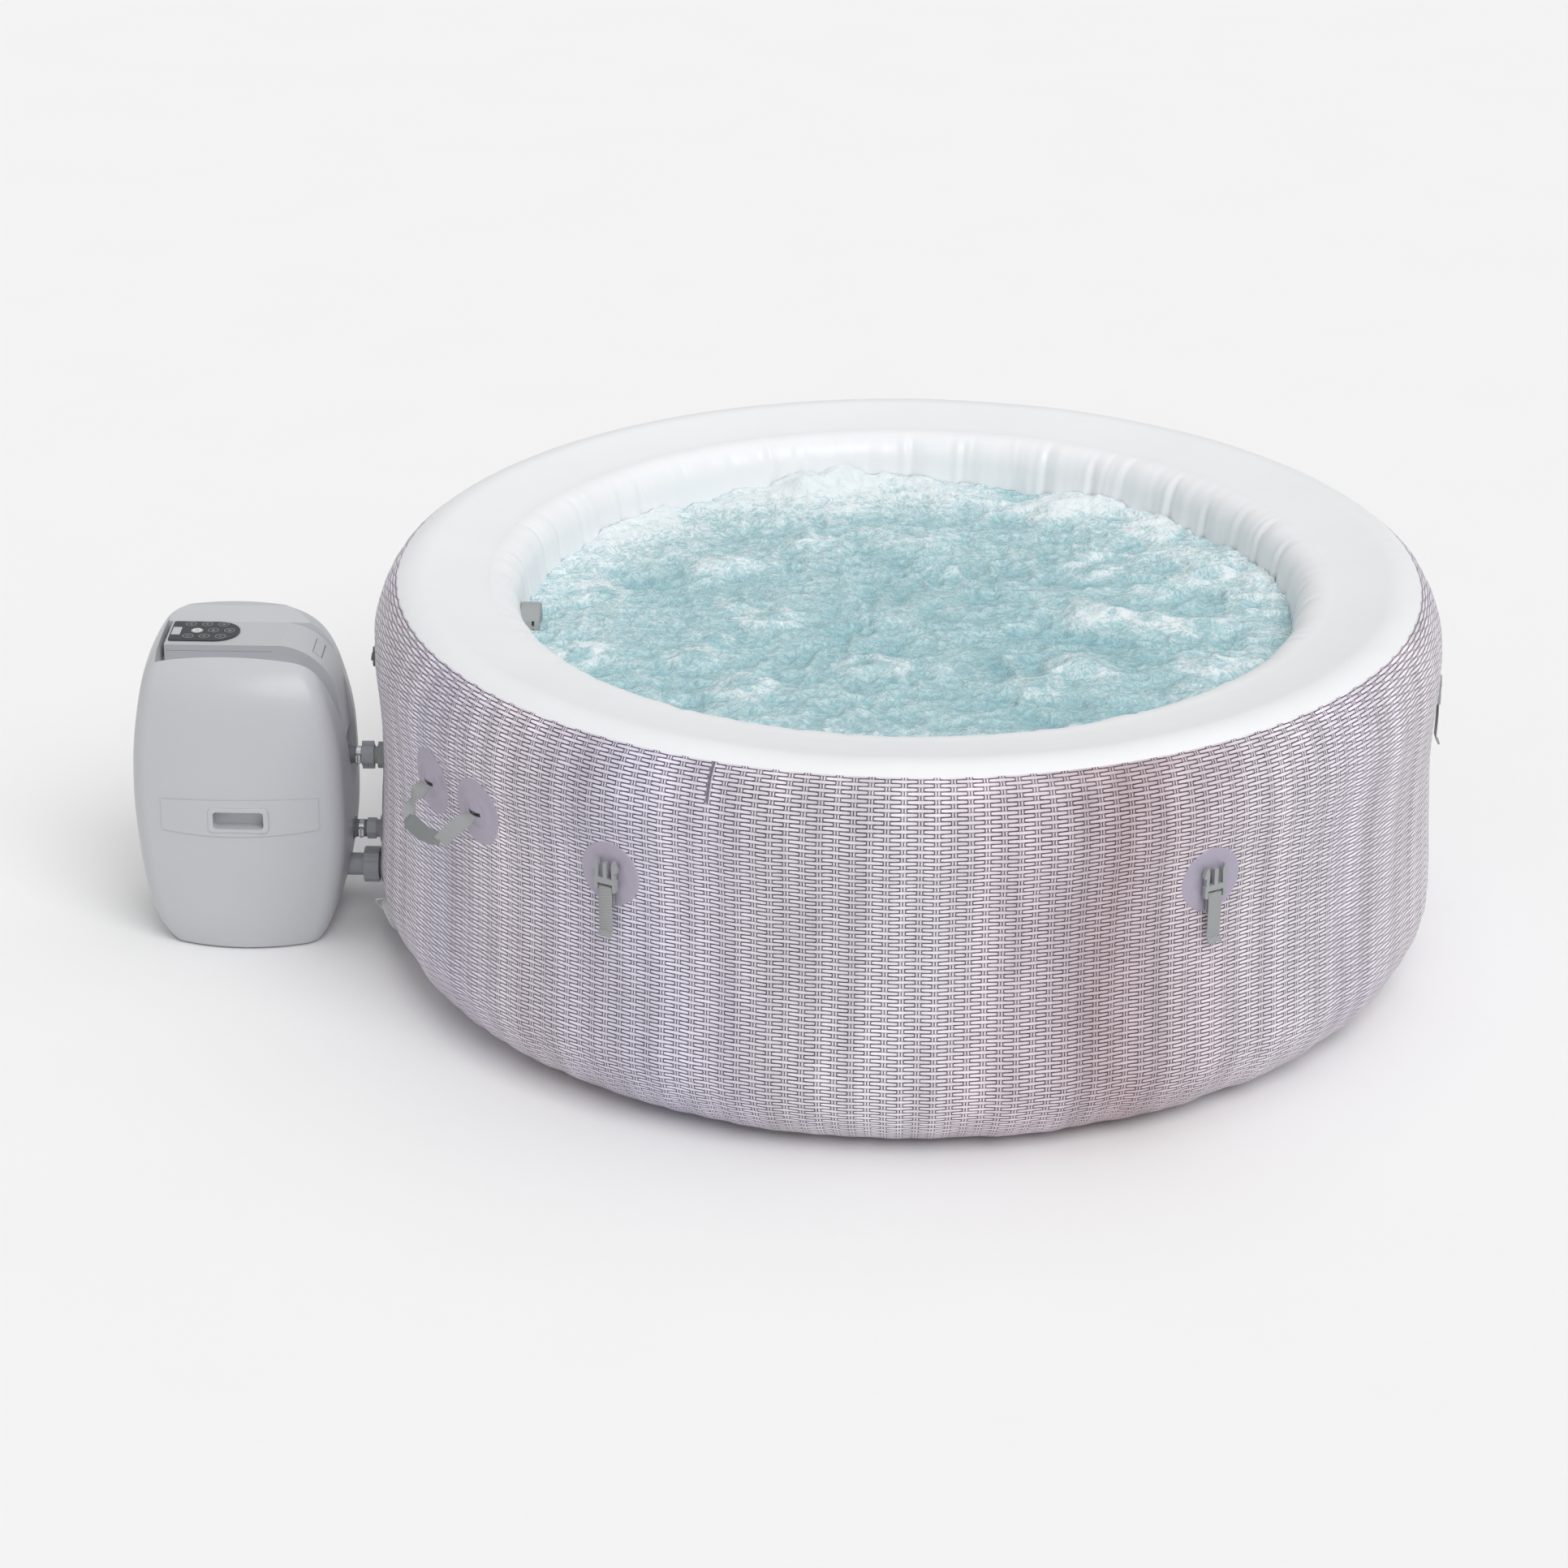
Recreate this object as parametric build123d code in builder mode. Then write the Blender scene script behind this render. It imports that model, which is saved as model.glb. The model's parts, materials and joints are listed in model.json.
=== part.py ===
"""Inflatable round hot tub with its pump and heater unit, as separate pieces.

Frame: origin on the ground at the tub's upright axis, +Z up, the pump unit on the -X side.
Angles around the tub ("azimuth") are measured from -Y towards +X.
"""

from build123d import *
import math
import os

# ---------------------------------------------------------------- driving dimensions, millimetres
TUB_HEIGHT = 666
CREST_RADIUS = 806
WALL_RADIUS = 902
FOOT_RADIUS = 760
INNER_RADIUS = 644
SKIN = 2.5
BASE_SHEET = 3
WEB_COUNT = 24
WEB_THICKNESS = 1.0
CLEARANCE = 0.3

PATCH_THICKNESS = 2.0
STRAP_THICKNESS = 1.6
STRAP_WIDTH = 25

BUCKLE_AZIMUTHS = (-30.5, 32.1, 91.0, 151.0, -151.0, -103.0)
BUCKLE_BAR_HEIGHT = 424
BUCKLE_PATCH_HEIGHT = 445
BUCKLE_PATCH_RADIUS = 54
BUCKLE_WIDTH = 40
BUCKLE_DEPTH = 9
BAR_RADIUS = 2

HANDLE_AZIMUTHS = (-53.7, 126.3)
HANDLE_HALF_ANGLE = 4.6
HANDLE_HEIGHT = 462
HANDLE_PATCH_RADIUS = 56
HANDLE_DROOP = 42
HANDLE_LEG = 68
STRAP_START = 3
GRIP_LENGTH = 108
GRIP_RADIUS = 11

COUPLING_Y = -20
AIR_Z = 305
RETURN_Z = 166
SUCTION_Z = 97

PUMP_X = -1125
PUMP_Y = -20
PUMP_TOP = 530
PUMP_SEAM = 246
SHELL_WALL = 3
FOOT_HEIGHT = 4

BAND_TOP = 513
BAND_FRONT_Y = -39
BAND_REAR_Y = 66
BAND_HOLLOW_REAR = 58
BAND_LEFT_X = -1262
CHANNEL_FLOOR = 478
BAND_END = 350

BUTTON_RADIUS = 10.2
BUTTON_TRAVEL = 0.4
OVERLAY_THICKNESS = 2.4
BUTTON_ROWS = ((47, -1228), (20, -1214), (-6.5, -1226))
BUTTON_PITCH = 28

TETHER_DIAMETER = 2.0


# Where the wall's tangent arcs meet, radius and height, from the foot over the crest and down inside.
WALL_CURVE = (
    (872, 56), (WALL_RADIUS, 158), (893, 322), (899, 510), (881, 626), (CREST_RADIUS, TUB_HEIGHT - 1),
    (706, 650), (660, 606), (INNER_RADIUS + 1, 450), (INNER_RADIUS + 4, BASE_SHEET),
)


# ---------------------------------------------------------------- shared geometry
def wall_nodes():
    """Ends of the wall's tangent arcs and the direction of the outline at each."""
    nodes = [(Vector(FOOT_RADIUS, 0), Vector(1, 0))]
    for corner in WALL_CURVE:
        bend = TangentArc(nodes[-1][0], corner, tangent=nodes[-1][1])
        nodes.append((bend @ 1, bend % 1))
    return nodes


WALL_NODES = wall_nodes()


def wall_outline(inset):
    """Closed section of the inflated ring wall, radius against height, moved inward by an inset."""
    moved = [(node + Vector(-way.Y, way.X) * inset, way) for node, way in WALL_NODES]
    with BuildSketch(Plane.XZ) as outline:
        with BuildLine():
            for (start, way), (end, _) in zip(moved, moved[1:]):
                TangentArc(start, end, tangent=way)
            last = moved[-1][0]
            Polyline(last, (last.X, inset), moved[0][0])
        make_face()
    return outline.sketch


OUTLINE = wall_outline(0)
CHAMBER = wall_outline(SKIN)
OUTER_SEAM = ((838, 618), (880, 690))
INNER_SEAM = ((719, 623), (693, 677))


def skin_piece(region):
    """Part of the wall skin inside a radius-height polygon, turned round the tub's axis."""
    with BuildPart() as skin:
        with BuildSketch(Plane.XZ):
            add(OUTLINE)
            add(CHAMBER, mode=Mode.SUBTRACT)
            with BuildLine():
                Polyline(*region, close=True)
            make_face(mode=Mode.INTERSECT)
        revolve(axis=Axis.Z)
    return skin.part


def wall_plane(azimuth, height, radius):
    """Plane on the wall: local Z points outward, local Y up, local X round the tub."""
    angle = math.radians(azimuth)
    outward = (math.sin(angle), -math.cos(angle), 0)
    around = (math.cos(angle), math.sin(angle), 0)
    origin = (radius * outward[0], radius * outward[1], height)
    return Plane(origin=origin, x_dir=around, z_dir=outward)


def x_plane(x, y, z):
    """Plane across a pipe that runs towards the tub: local Z is +X, local Y is up."""
    return Plane(origin=(x, y, z), x_dir=(0, 1, 0), z_dir=(1, 0, 0))


def pipe(x_start, x_end, z, outer, bore, y=COUPLING_Y):
    """Straight tube along X."""
    with BuildPart() as tube:
        with BuildSketch(x_plane(x_start, y, z)):
            Circle(outer)
            if bore > 0:
                Circle(bore, mode=Mode.SUBTRACT)
        extrude(amount=x_end - x_start)
    return tube.part


def cylinder_at(plane, radius, length):
    """Solid cylinder from a plane along its normal."""
    with BuildPart() as post:
        with BuildSketch(plane):
            Circle(radius)
        extrude(amount=length)
    return post.part


# ---------------------------------------------------------------- tub skins
TUB_FORM = revolve(OUTLINE, axis=Axis.Z)

# Ports through the walls: plane of the mouth, radius of the hole.
DRAIN_TILT = 26
DRAIN_ANGLE = math.radians(-80)
DRAIN_CENTRE = (877 * math.sin(DRAIN_ANGLE), -877 * math.cos(DRAIN_ANGLE), 71)
DRAIN_OUT = (
    math.sin(DRAIN_ANGLE) * math.cos(math.radians(DRAIN_TILT)),
    -math.cos(DRAIN_ANGLE) * math.cos(math.radians(DRAIN_TILT)),
    -math.sin(math.radians(DRAIN_TILT)),
)
DRAIN_PLANE = Plane(origin=DRAIN_CENTRE, x_dir=(math.cos(DRAIN_ANGLE), math.sin(DRAIN_ANGLE), 0), z_dir=DRAIN_OUT)
VALVE_PLANE = wall_plane(-87, 500, 898)

STUB_RADIUS = {"air": 15, "return": 15.5, "suction": 22.5}
STUB_BORE = {"air": 11, "return": 11.5, "suction": 17.5}
STUB_Z = {"air": AIR_Z, "return": RETURN_Z, "suction": SUCTION_Z}
DRAIN_HOLE = 16
VALVE_HOLE = 13
AIR_HOSE_RADIUS = 13
AIR_HOSE_END_Z = 24


def make_outer_wall():
    region = ((770, BASE_SHEET), (1000, BASE_SHEET), (1000, 690), OUTER_SEAM[1], OUTER_SEAM[0], (770, 400))
    with BuildPart() as outer_wall:
        add(skin_piece(region))
        for name, radius in STUB_RADIUS.items():
            add(pipe(-950, -800, STUB_Z[name], radius, 0), mode=Mode.SUBTRACT)
        add(cylinder_at(DRAIN_PLANE.offset(-25), DRAIN_HOLE, 60), mode=Mode.SUBTRACT)
        add(cylinder_at(VALVE_PLANE.offset(-20), VALVE_HOLE, 60), mode=Mode.SUBTRACT)
    return outer_wall.part


def make_top_ring():
    return skin_piece((OUTER_SEAM[0], OUTER_SEAM[1], (880, 760), (600, 760), INNER_SEAM[1], INNER_SEAM[0]))


def make_inner_wall():
    with BuildPart() as inner_wall:
        add(skin_piece((INNER_SEAM[0], INNER_SEAM[1], (600, 700), (600, BASE_SHEET), (700, BASE_SHEET), (700, 400))))
        for name in ("return", "suction"):
            add(pipe(-700, -600, STUB_Z[name], STUB_RADIUS[name], 0), mode=Mode.SUBTRACT)
        add(pipe(-700, -600, AIR_HOSE_END_Z, AIR_HOSE_RADIUS, 0, y=50), mode=Mode.SUBTRACT)
    return inner_wall.part


def make_base_sheet():
    """Ground sheet: closes the ring's underside and carries the bathing floor."""
    with BuildPart() as base_sheet:
        with BuildSketch(Plane.XZ):
            add(OUTLINE)
            with BuildLine():
                Polyline((0, 0), (1000, 0), (1000, BASE_SHEET), (0, BASE_SHEET), close=True)
            make_face(mode=Mode.INTERSECT)
            with Locations(((INNER_RADIUS + 5) / 2, BASE_SHEET / 2)):
                Rectangle(INNER_RADIUS + 5, BASE_SHEET)
        revolve(axis=Axis.Z)
    return base_sheet.part


def make_wall_webs():
    """Upright inner webs that keep the inflated wall in shape, with air holes."""
    web_hole = 60
    with BuildPart() as webs:
        with BuildSketch(Plane.XZ):
            add(wall_outline(SKIN + CLEARANCE))
            with Locations((770, 180), (770, 330), (770, 480)):
                Circle(web_hole / 2, mode=Mode.SUBTRACT)
            with Locations((775, 0)):
                Rectangle(300, 2 * BASE_SHEET + 2 * CLEARANCE, mode=Mode.SUBTRACT)
        extrude(amount=WEB_THICKNESS / 2, both=True)
    turn = 360 / WEB_COUNT
    copies = [webs.part.rotate(Axis.Z, turn * (i + 0.5)) for i in range(WEB_COUNT)]
    return Compound(children=copies)


def make_bubble_channel():
    """Air duct in the corner of the bathing floor, with a ring of air holes."""
    duct_height = 44
    with BuildPart() as channel:
        with BuildSketch(Plane.XZ):
            with BuildLine():
                foot = (INNER_RADIUS - 50, BASE_SHEET)
                head = (INNER_RADIUS + 1, duct_height)
                skin_arc = ThreePointArc(foot, (INNER_RADIUS - 30, 36), head)
                inner_arc = ThreePointArc(
                    (INNER_RADIUS - 46, BASE_SHEET), (INNER_RADIUS - 27, 32), (INNER_RADIUS + 1, duct_height - 4)
                )
                Line(skin_arc @ 0, inner_arc @ 0)
                Line(skin_arc @ 1, inner_arc @ 1)
            make_face()
        revolve(axis=Axis.Z)
        with PolarLocations(INNER_RADIUS - 31, 48):
            Hole(1.6, depth=20)
    return channel.part


# ---------------------------------------------------------------- patches, straps and buckles
def make_patches(places, radius, slot_width, slot_height):
    """Round reinforcing patches welded on the wall, each with a strap slot if it has a width."""
    grown = wall_outline(-PATCH_THICKNESS)
    with BuildPart() as band:
        with BuildSketch(Plane.XZ):
            add(grown)
            add(OUTLINE, mode=Mode.SUBTRACT)
            with Locations((900, 450)):
                Rectangle(60, 200, mode=Mode.INTERSECT)
        revolve(axis=Axis.Z)
    discs = []
    for azimuth, height in places:
        with BuildPart() as disc:
            with BuildSketch(wall_plane(azimuth, height, 850)):
                Circle(radius)
                if slot_width:
                    SlotOverall(slot_width, slot_height, mode=Mode.SUBTRACT)
            extrude(amount=90)
            add(band.part, mode=Mode.INTERSECT)
        discs.append(disc.part)
    return Compound(children=discs)


PATCH_FACE_RADIUS = 900.2


def make_buckle_strap(azimuth):
    """Webbing that comes off its weld, goes over the buckle's bar and hangs down in front."""
    face = PATCH_FACE_RADIUS + CLEARANCE
    bar_out = STRAP_THICKNESS + BAR_RADIUS + CLEARANCE
    with BuildPart() as strap:
        side = Plane(wall_plane(azimuth, 0, face).origin, x_dir=wall_plane(azimuth, 0, face).z_dir,
                     z_dir=-wall_plane(azimuth, 0, face).x_dir)
        with BuildSketch(side):
            with BuildLine():
                back = Line((STRAP_THICKNESS / 2, 392), (STRAP_THICKNESS / 2, BUCKLE_BAR_HEIGHT))
                over = ThreePointArc(
                    back @ 1,
                    (bar_out, BUCKLE_BAR_HEIGHT + bar_out - STRAP_THICKNESS / 2),
                    (2 * bar_out - STRAP_THICKNESS / 2, BUCKLE_BAR_HEIGHT),
                )
                tail = Line(over @ 1, (2 * bar_out - STRAP_THICKNESS / 2, 352))
                TangentArc(tail @ 1, (2 * bar_out + 3, 342), tangent=tail % 1)
            trace(line_width=STRAP_THICKNESS)
        extrude(amount=STRAP_WIDTH / 2, both=True)
    return strap.part


def make_buckle(azimuth):
    """Side-release buckle half: ladder frame, two flexing arms with hooks and a centre tongue."""
    bar_out = PATCH_FACE_RADIUS + CLEARANCE + STRAP_THICKNESS + BAR_RADIUS + CLEARANCE
    half = BUCKLE_WIDTH / 2
    plane = wall_plane(azimuth, BUCKLE_BAR_HEIGHT, bar_out)
    with BuildPart() as buckle:
        with BuildSketch(plane.offset(-BAR_RADIUS)) as plate:
            with Locations((0, 7)):
                RectangleRounded(BUCKLE_WIDTH, 22, 3)
            with Locations((0, 2.2)):
                Rectangle(STRAP_WIDTH + 3, 12.4, mode=Mode.SUBTRACT)
            with BuildLine():
                Polyline((-half + 2, 17), (-half + 7, 17), (-half + 8, 40), (-half + 4.5, 50), (-half - 2, 36),
                         (-half - 2, 31), (-half + 2, 30), close=True)
            make_face()
            with BuildLine():
                Polyline((half - 2, 17), (half - 7, 17), (half - 8, 40), (half - 4.5, 50), (half + 2, 36),
                         (half + 2, 31), (half - 2, 30), close=True)
            make_face()
            with Locations((0, 30)):
                Rectangle(7, 28)
        extrude(amount=BUCKLE_DEPTH - BAR_RADIUS)
        with BuildSketch(Plane(origin=plane.origin, x_dir=plane.z_dir, z_dir=plane.x_dir)):
            Circle(BAR_RADIUS)
        extrude(amount=half - 2, both=True)
    return buckle.part


def handle_frame(azimuth):
    """Hinge frame of a carry handle: origin between its two slots, local Z out along the loop."""
    upright = wall_plane(azimuth, HANDLE_HEIGHT, PATCH_FACE_RADIUS + 1.5)
    out = upright.z_dir
    droop = math.radians(HANDLE_DROOP)
    loop_dir = out * math.cos(droop) - Vector(0, 0, 1) * math.sin(droop)
    return Plane(origin=upright.origin, x_dir=upright.x_dir, z_dir=loop_dir)


def make_carry_strap(azimuth):
    """Webbing loop: two legs out of the slots joined through the grip."""
    frame = handle_frame(azimuth)
    half_span = PATCH_FACE_RADIUS * math.radians(HANDLE_HALF_ANGLE)
    flat = Plane(origin=frame.origin, x_dir=frame.x_dir, z_dir=frame.z_dir.cross(frame.x_dir))
    half_grip = GRIP_LENGTH / 2
    with BuildPart() as strap:
        with BuildSketch(flat.offset(-STRAP_THICKNESS / 2)):
            for side in (-1, 1):
                with BuildLine():
                    Polyline(
                        (side * (half_span - 12), -STRAP_START), (side * (half_span + 12), -STRAP_START),
                        (side * (half_grip + 13), -(HANDLE_LEG + 8)),
                        (side * (half_grip - 8), -(HANDLE_LEG + 8)),
                        (side * (half_grip - 8), -(HANDLE_LEG - 8)), close=True,
                    )
                make_face()
            with Locations((0, -HANDLE_LEG)):
                Rectangle(GRIP_LENGTH, 14)
        extrude(amount=STRAP_THICKNESS)
    return strap.part


def make_carry_grip(azimuth):
    """Moulded sleeve round the lower part of the loop."""
    frame = handle_frame(azimuth)
    centre = frame.origin + frame.z_dir * HANDLE_LEG
    with BuildPart() as grip:
        with BuildSketch(Plane(origin=centre, x_dir=frame.z_dir, z_dir=frame.x_dir)):
            Ellipse(GRIP_RADIUS, GRIP_RADIUS - 2)
            Rectangle(14, STRAP_THICKNESS, mode=Mode.SUBTRACT)
        extrude(amount=GRIP_LENGTH / 2 - 8.5, both=True)
    return grip.part


# ---------------------------------------------------------------- valves
VALVE_FLANGE = 24
VALVE_LIP = 3
DRAIN_FLANGE = 33
DRAIN_RIM = 6
DRAIN_CAP_RADIUS = 27.5
DRAIN_CAP_HEIGHT = 13


def make_air_valve_body():
    """Welded flange and socket of the inflation valve."""
    with BuildPart() as body:
        add(cylinder_at(VALVE_PLANE.offset(-3), VALVE_FLANGE, 3 + VALVE_LIP))
        add(TUB_FORM, mode=Mode.SUBTRACT)
        add(cylinder_at(VALVE_PLANE.offset(-15), VALVE_HOLE, 15 + VALVE_LIP))
        add(cylinder_at(VALVE_PLANE.offset(-12), VALVE_HOLE - 3, 20), mode=Mode.SUBTRACT)
    return body.part


def make_air_valve_cap():
    """Screw-in cap with a grip bar across its face."""
    top = VALVE_PLANE.offset(VALVE_LIP + CLEARANCE)
    with BuildPart() as cap:
        add(cylinder_at(top, 17, 4))
        add(cylinder_at(VALVE_PLANE.offset(-8), VALVE_HOLE - 3 - CLEARANCE, 8 + VALVE_LIP + CLEARANCE))
        with BuildSketch(top.offset(4)):
            RectangleRounded(26, 6, 2)
        extrude(amount=3)
    return cap.part


def make_drain_valve_body():
    """Welded flange of the drain valve, shaped to the wall, with its threaded neck."""
    with BuildPart() as body:
        add(cylinder_at(DRAIN_PLANE.offset(-14), DRAIN_FLANGE, 14 + DRAIN_RIM))
        add(TUB_FORM, mode=Mode.SUBTRACT)
        add(cylinder_at(DRAIN_PLANE.offset(-20), DRAIN_HOLE, 20 + DRAIN_RIM))
        add(cylinder_at(DRAIN_PLANE.offset(DRAIN_RIM), DRAIN_CAP_RADIUS - 6, 8))
        add(cylinder_at(DRAIN_PLANE.offset(-22), DRAIN_HOLE - 3, 60), mode=Mode.SUBTRACT)
    return body.part


def make_drain_cap():
    """Ribbed screw cap of the drain valve."""
    face = DRAIN_PLANE.offset(DRAIN_RIM + CLEARANCE)
    with BuildPart() as cap:
        add(cylinder_at(face, DRAIN_CAP_RADIUS, DRAIN_CAP_HEIGHT))
        fillet(cap.faces().sort_by(Axis(DRAIN_PLANE.origin, DRAIN_PLANE.z_dir))[-1].edges(), 2)
        add(cylinder_at(face, DRAIN_CAP_RADIUS - 6 + CLEARANCE, 9), mode=Mode.SUBTRACT)
        with BuildSketch(face):
            with PolarLocations(DRAIN_CAP_RADIUS, 24):
                Circle(1.3)
            Circle(DRAIN_CAP_RADIUS - 1, mode=Mode.SUBTRACT)
        extrude(amount=DRAIN_CAP_HEIGHT - 2.5)
    return cap.part


# Route of the thin cord tied to the drain valve's flange, in the valve's own frame:
# round the tub, up the wall, out from it.
TETHER_ROUTE = (
    (-20, 24, 6), (-20, 24, 14), (-27, 27, 25), (-38, 20, 32), (-44, 5, 31), (-41, -9, 25), (-28, -14, 14.5),
    (-28, -14, 6),
)


def make_drain_tether():
    points = [DRAIN_PLANE.from_local_coords(Vector(*spot)) for spot in TETHER_ROUTE]
    radii = []
    for before, corner, after in zip(points, points[1:], points[2:]):
        half_turn = math.radians((corner - before).get_angle(after - corner)) / 2
        shorter = min((corner - before).length, (after - corner).length)
        radii.append(0.45 * shorter / math.tan(half_turn))
    print("tether radii", [round(radius, 1) for radius in radii])
    with BuildPart() as tether:
        with BuildLine() as route:
            path = FilletPolyline(*points, radius=radii)
        with BuildSketch(Plane(origin=path @ 0, z_dir=path % 0)):
            Circle(TETHER_DIAMETER / 2)
        sweep()
    print("tether length", round(path.length, 1), "volume", round(tether.part.volume, 1),
          "section x length", round(math.pi * (TETHER_DIAMETER / 2) ** 2 * path.length, 1))
    return tether.part


# ---------------------------------------------------------------- pipes between pump and tub
JOINT_FACE = {"air": -915, "return": -915, "suction": -909}
NUT_START = {"air": -933, "return": -929, "suction": -936}
NUT_END = {"air": -912, "return": -913, "suction": -909.5}
NUT_RADIUS = {"air": 19, "return": 18.5, "suction": 29.5}
PIPE_RADIUS = {"air": 11.5, "return": 12, "suction": 19.5}
PIPE_BORE = {"air": 9, "return": 9.5, "suction": 15}
GASKET = 2


def make_stub(name):
    """Coupling on the tub: wall flange, threaded end and the sleeve through the wall."""
    inner_end = -800 if name == "air" else -(INNER_RADIUS - 6)
    z = STUB_Z[name]
    flange = STUB_RADIUS[name] + 8
    with BuildPart() as stub:
        add(pipe(-905, -880, z, flange, 0))
        add(TUB_FORM, mode=Mode.SUBTRACT)
        add(pipe(JOINT_FACE[name] + GASKET, inner_end, z, STUB_RADIUS[name], 0))
        add(pipe(-930, -600, z, STUB_BORE[name], 0), mode=Mode.SUBTRACT)
    return stub.part


def make_gaskets():
    """Flat sealing rings in the three couplings."""
    rings = [pipe(JOINT_FACE[name], JOINT_FACE[name] + GASKET, STUB_Z[name], STUB_RADIUS[name] - 1, STUB_BORE[name])
             for name in STUB_Z]
    return Compound(children=rings)


def make_pump_pipe(name, x_start):
    """Pump-side pipe with the collar that its union nut pulls on."""
    z = STUB_Z[name]
    face = JOINT_FACE[name] - CLEARANCE
    with BuildPart() as tube:
        add(pipe(x_start, face, z, PIPE_RADIUS[name], 0))
        add(pipe(face - 4, face, z, STUB_RADIUS[name] - 0.6, 0))
        add(pipe(x_start, face, z, PIPE_BORE[name], 0), mode=Mode.SUBTRACT)
    return tube.part


def make_union_nut(name):
    """Union nut: shoulder behind the collar, skirt over the stub's thread, grips outside."""
    z = STUB_Z[name]
    start = NUT_START[name]
    end = NUT_END[name]
    shoulder = JOINT_FACE[name] - CLEARANCE - 4 - CLEARANCE
    radius = NUT_RADIUS[name]
    with BuildPart() as nut:
        with BuildSketch(x_plane(start, COUPLING_Y, z)):
            if name == "return":
                RegularPolygon(radius, 6)
            else:
                Circle(radius)
            if name == "air":
                with PolarLocations(radius + 1, 2, start_angle=90):
                    RectangleRounded(10, 9, 2)
            if name == "suction":
                with PolarLocations(radius - 0.5, 12):
                    Circle(2.2)
        extrude(amount=end - start)
        add(pipe(start, end, z, PIPE_RADIUS[name] + CLEARANCE, 0), mode=Mode.SUBTRACT)
        add(pipe(shoulder, end, z, STUB_RADIUS[name] + CLEARANCE, 0), mode=Mode.SUBTRACT)
    return nut.part


BOOT_START = {"air": -966, "return": -956}
BOOT_RADIUS = 20.5


def make_boot(name):
    """Rubber boot that narrows from the pump's spigot to the clamped end."""
    z = STUB_Z[name]
    start = BOOT_START[name]
    neck = PIPE_RADIUS[name] + 3
    with BuildPart() as boot:
        with BuildSketch(Plane(origin=(0, COUPLING_Y, z), x_dir=(1, 0, 0), z_dir=(0, -1, 0))):
            with BuildLine():
                flare = Spline((start, BOOT_RADIUS), (-943, neck), tangents=((1, -0.4), (1, 0)))
                Polyline(flare @ 1, (NUT_START[name] - 1, neck), (NUT_START[name] - 1, PIPE_RADIUS[name]),
                         (start, PIPE_RADIUS[name]), flare @ 0)
            make_face()
        revolve(axis=Axis((0, COUPLING_Y, z), (1, 0, 0)))
    return boot.part


def make_hose_clamps():
    """Worm-drive bands on the two rubber boots."""
    clamps = []
    for name in ("air", "return"):
        z = STUB_Z[name]
        neck = PIPE_RADIUS[name] + 3
        with BuildPart() as clamp:
            add(pipe(-942.5, -934.5, z, neck + 0.9, neck))
            with BuildSketch(Plane(origin=(-938.5, COUPLING_Y - neck, z), x_dir=(1, 0, 0), z_dir=(0, -1, 0))):
                RectangleRounded(8, 14, 1.5)
            extrude(amount=5)
            add(cylinder_at(Plane(origin=(-938.5, COUPLING_Y - neck - 3, z - 10)), 2.6, 20))
            add(pipe(-960, -930, z, neck, 0), mode=Mode.SUBTRACT)
        clamps.append(clamp.part)
    return Compound(children=clamps)


def make_air_hose():
    """Hose inside the wall from the air coupling down to the bubble channel."""
    hose_y = 50
    with BuildPart() as hose:
        with BuildLine():
            route = FilletPolyline(
                (-800, COUPLING_Y, AIR_Z), (-760, COUPLING_Y, AIR_Z), (-745, hose_y, AIR_Z - 60),
                (-745, hose_y, AIR_HOSE_END_Z), (-(INNER_RADIUS - 4), hose_y, AIR_HOSE_END_Z), radius=30,
            )
        with BuildSketch(x_plane(-800, COUPLING_Y, AIR_Z)):
            Circle(AIR_HOSE_RADIUS)
            Circle(AIR_HOSE_RADIUS - 2, mode=Mode.SUBTRACT)
        sweep(path=route)
    return hose.part


# ---------------------------------------------------------------- fittings inside the tub
FILTER_RADIUS = 44
FILTER_START = -(INNER_RADIUS - 6)
FILTER_END = -540


def make_filter_housing():
    """Slotted can round the suction opening."""
    with BuildPart() as can:
        add(pipe(FILTER_START, FILTER_END, SUCTION_Z, FILTER_RADIUS, 0))
        add(pipe(FILTER_START + 3, FILTER_END, SUCTION_Z, FILTER_RADIUS - 3, 0), mode=Mode.SUBTRACT)
        add(pipe(FILTER_START, FILTER_END, SUCTION_Z, STUB_BORE["suction"], 0), mode=Mode.SUBTRACT)
        for level in range(3):
            with BuildSketch(Plane(origin=(-(INNER_RADIUS - 30 - 20 * level), COUPLING_Y, SUCTION_Z))):
                SlotOverall(2 * FILTER_RADIUS - 30, 8, rotation=90)
            extrude(amount=60, mode=Mode.SUBTRACT)
    return can.part


def make_filter_cap():
    """Twist-off lid of the filter can."""
    with BuildPart() as cap:
        add(pipe(FILTER_END + CLEARANCE, FILTER_END + 6, SUCTION_Z, FILTER_RADIUS, 0))
        with BuildSketch(x_plane(FILTER_END + 6, COUPLING_Y, SUCTION_Z)):
            SlotOverall(56, 12)
        extrude(amount=10)
    return cap.part


def make_filter_cartridge():
    """Pleated cartridge on a hollow core."""
    with BuildPart() as cartridge:
        with BuildSketch(x_plane(FILTER_START + 3.5, COUPLING_Y, SUCTION_Z)):
            Circle(34)
            with PolarLocations(34, 24):
                Circle(3)
            Circle(16, mode=Mode.SUBTRACT)
        extrude(amount=FILTER_END - FILTER_START - 5)
    return cartridge.part


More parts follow.
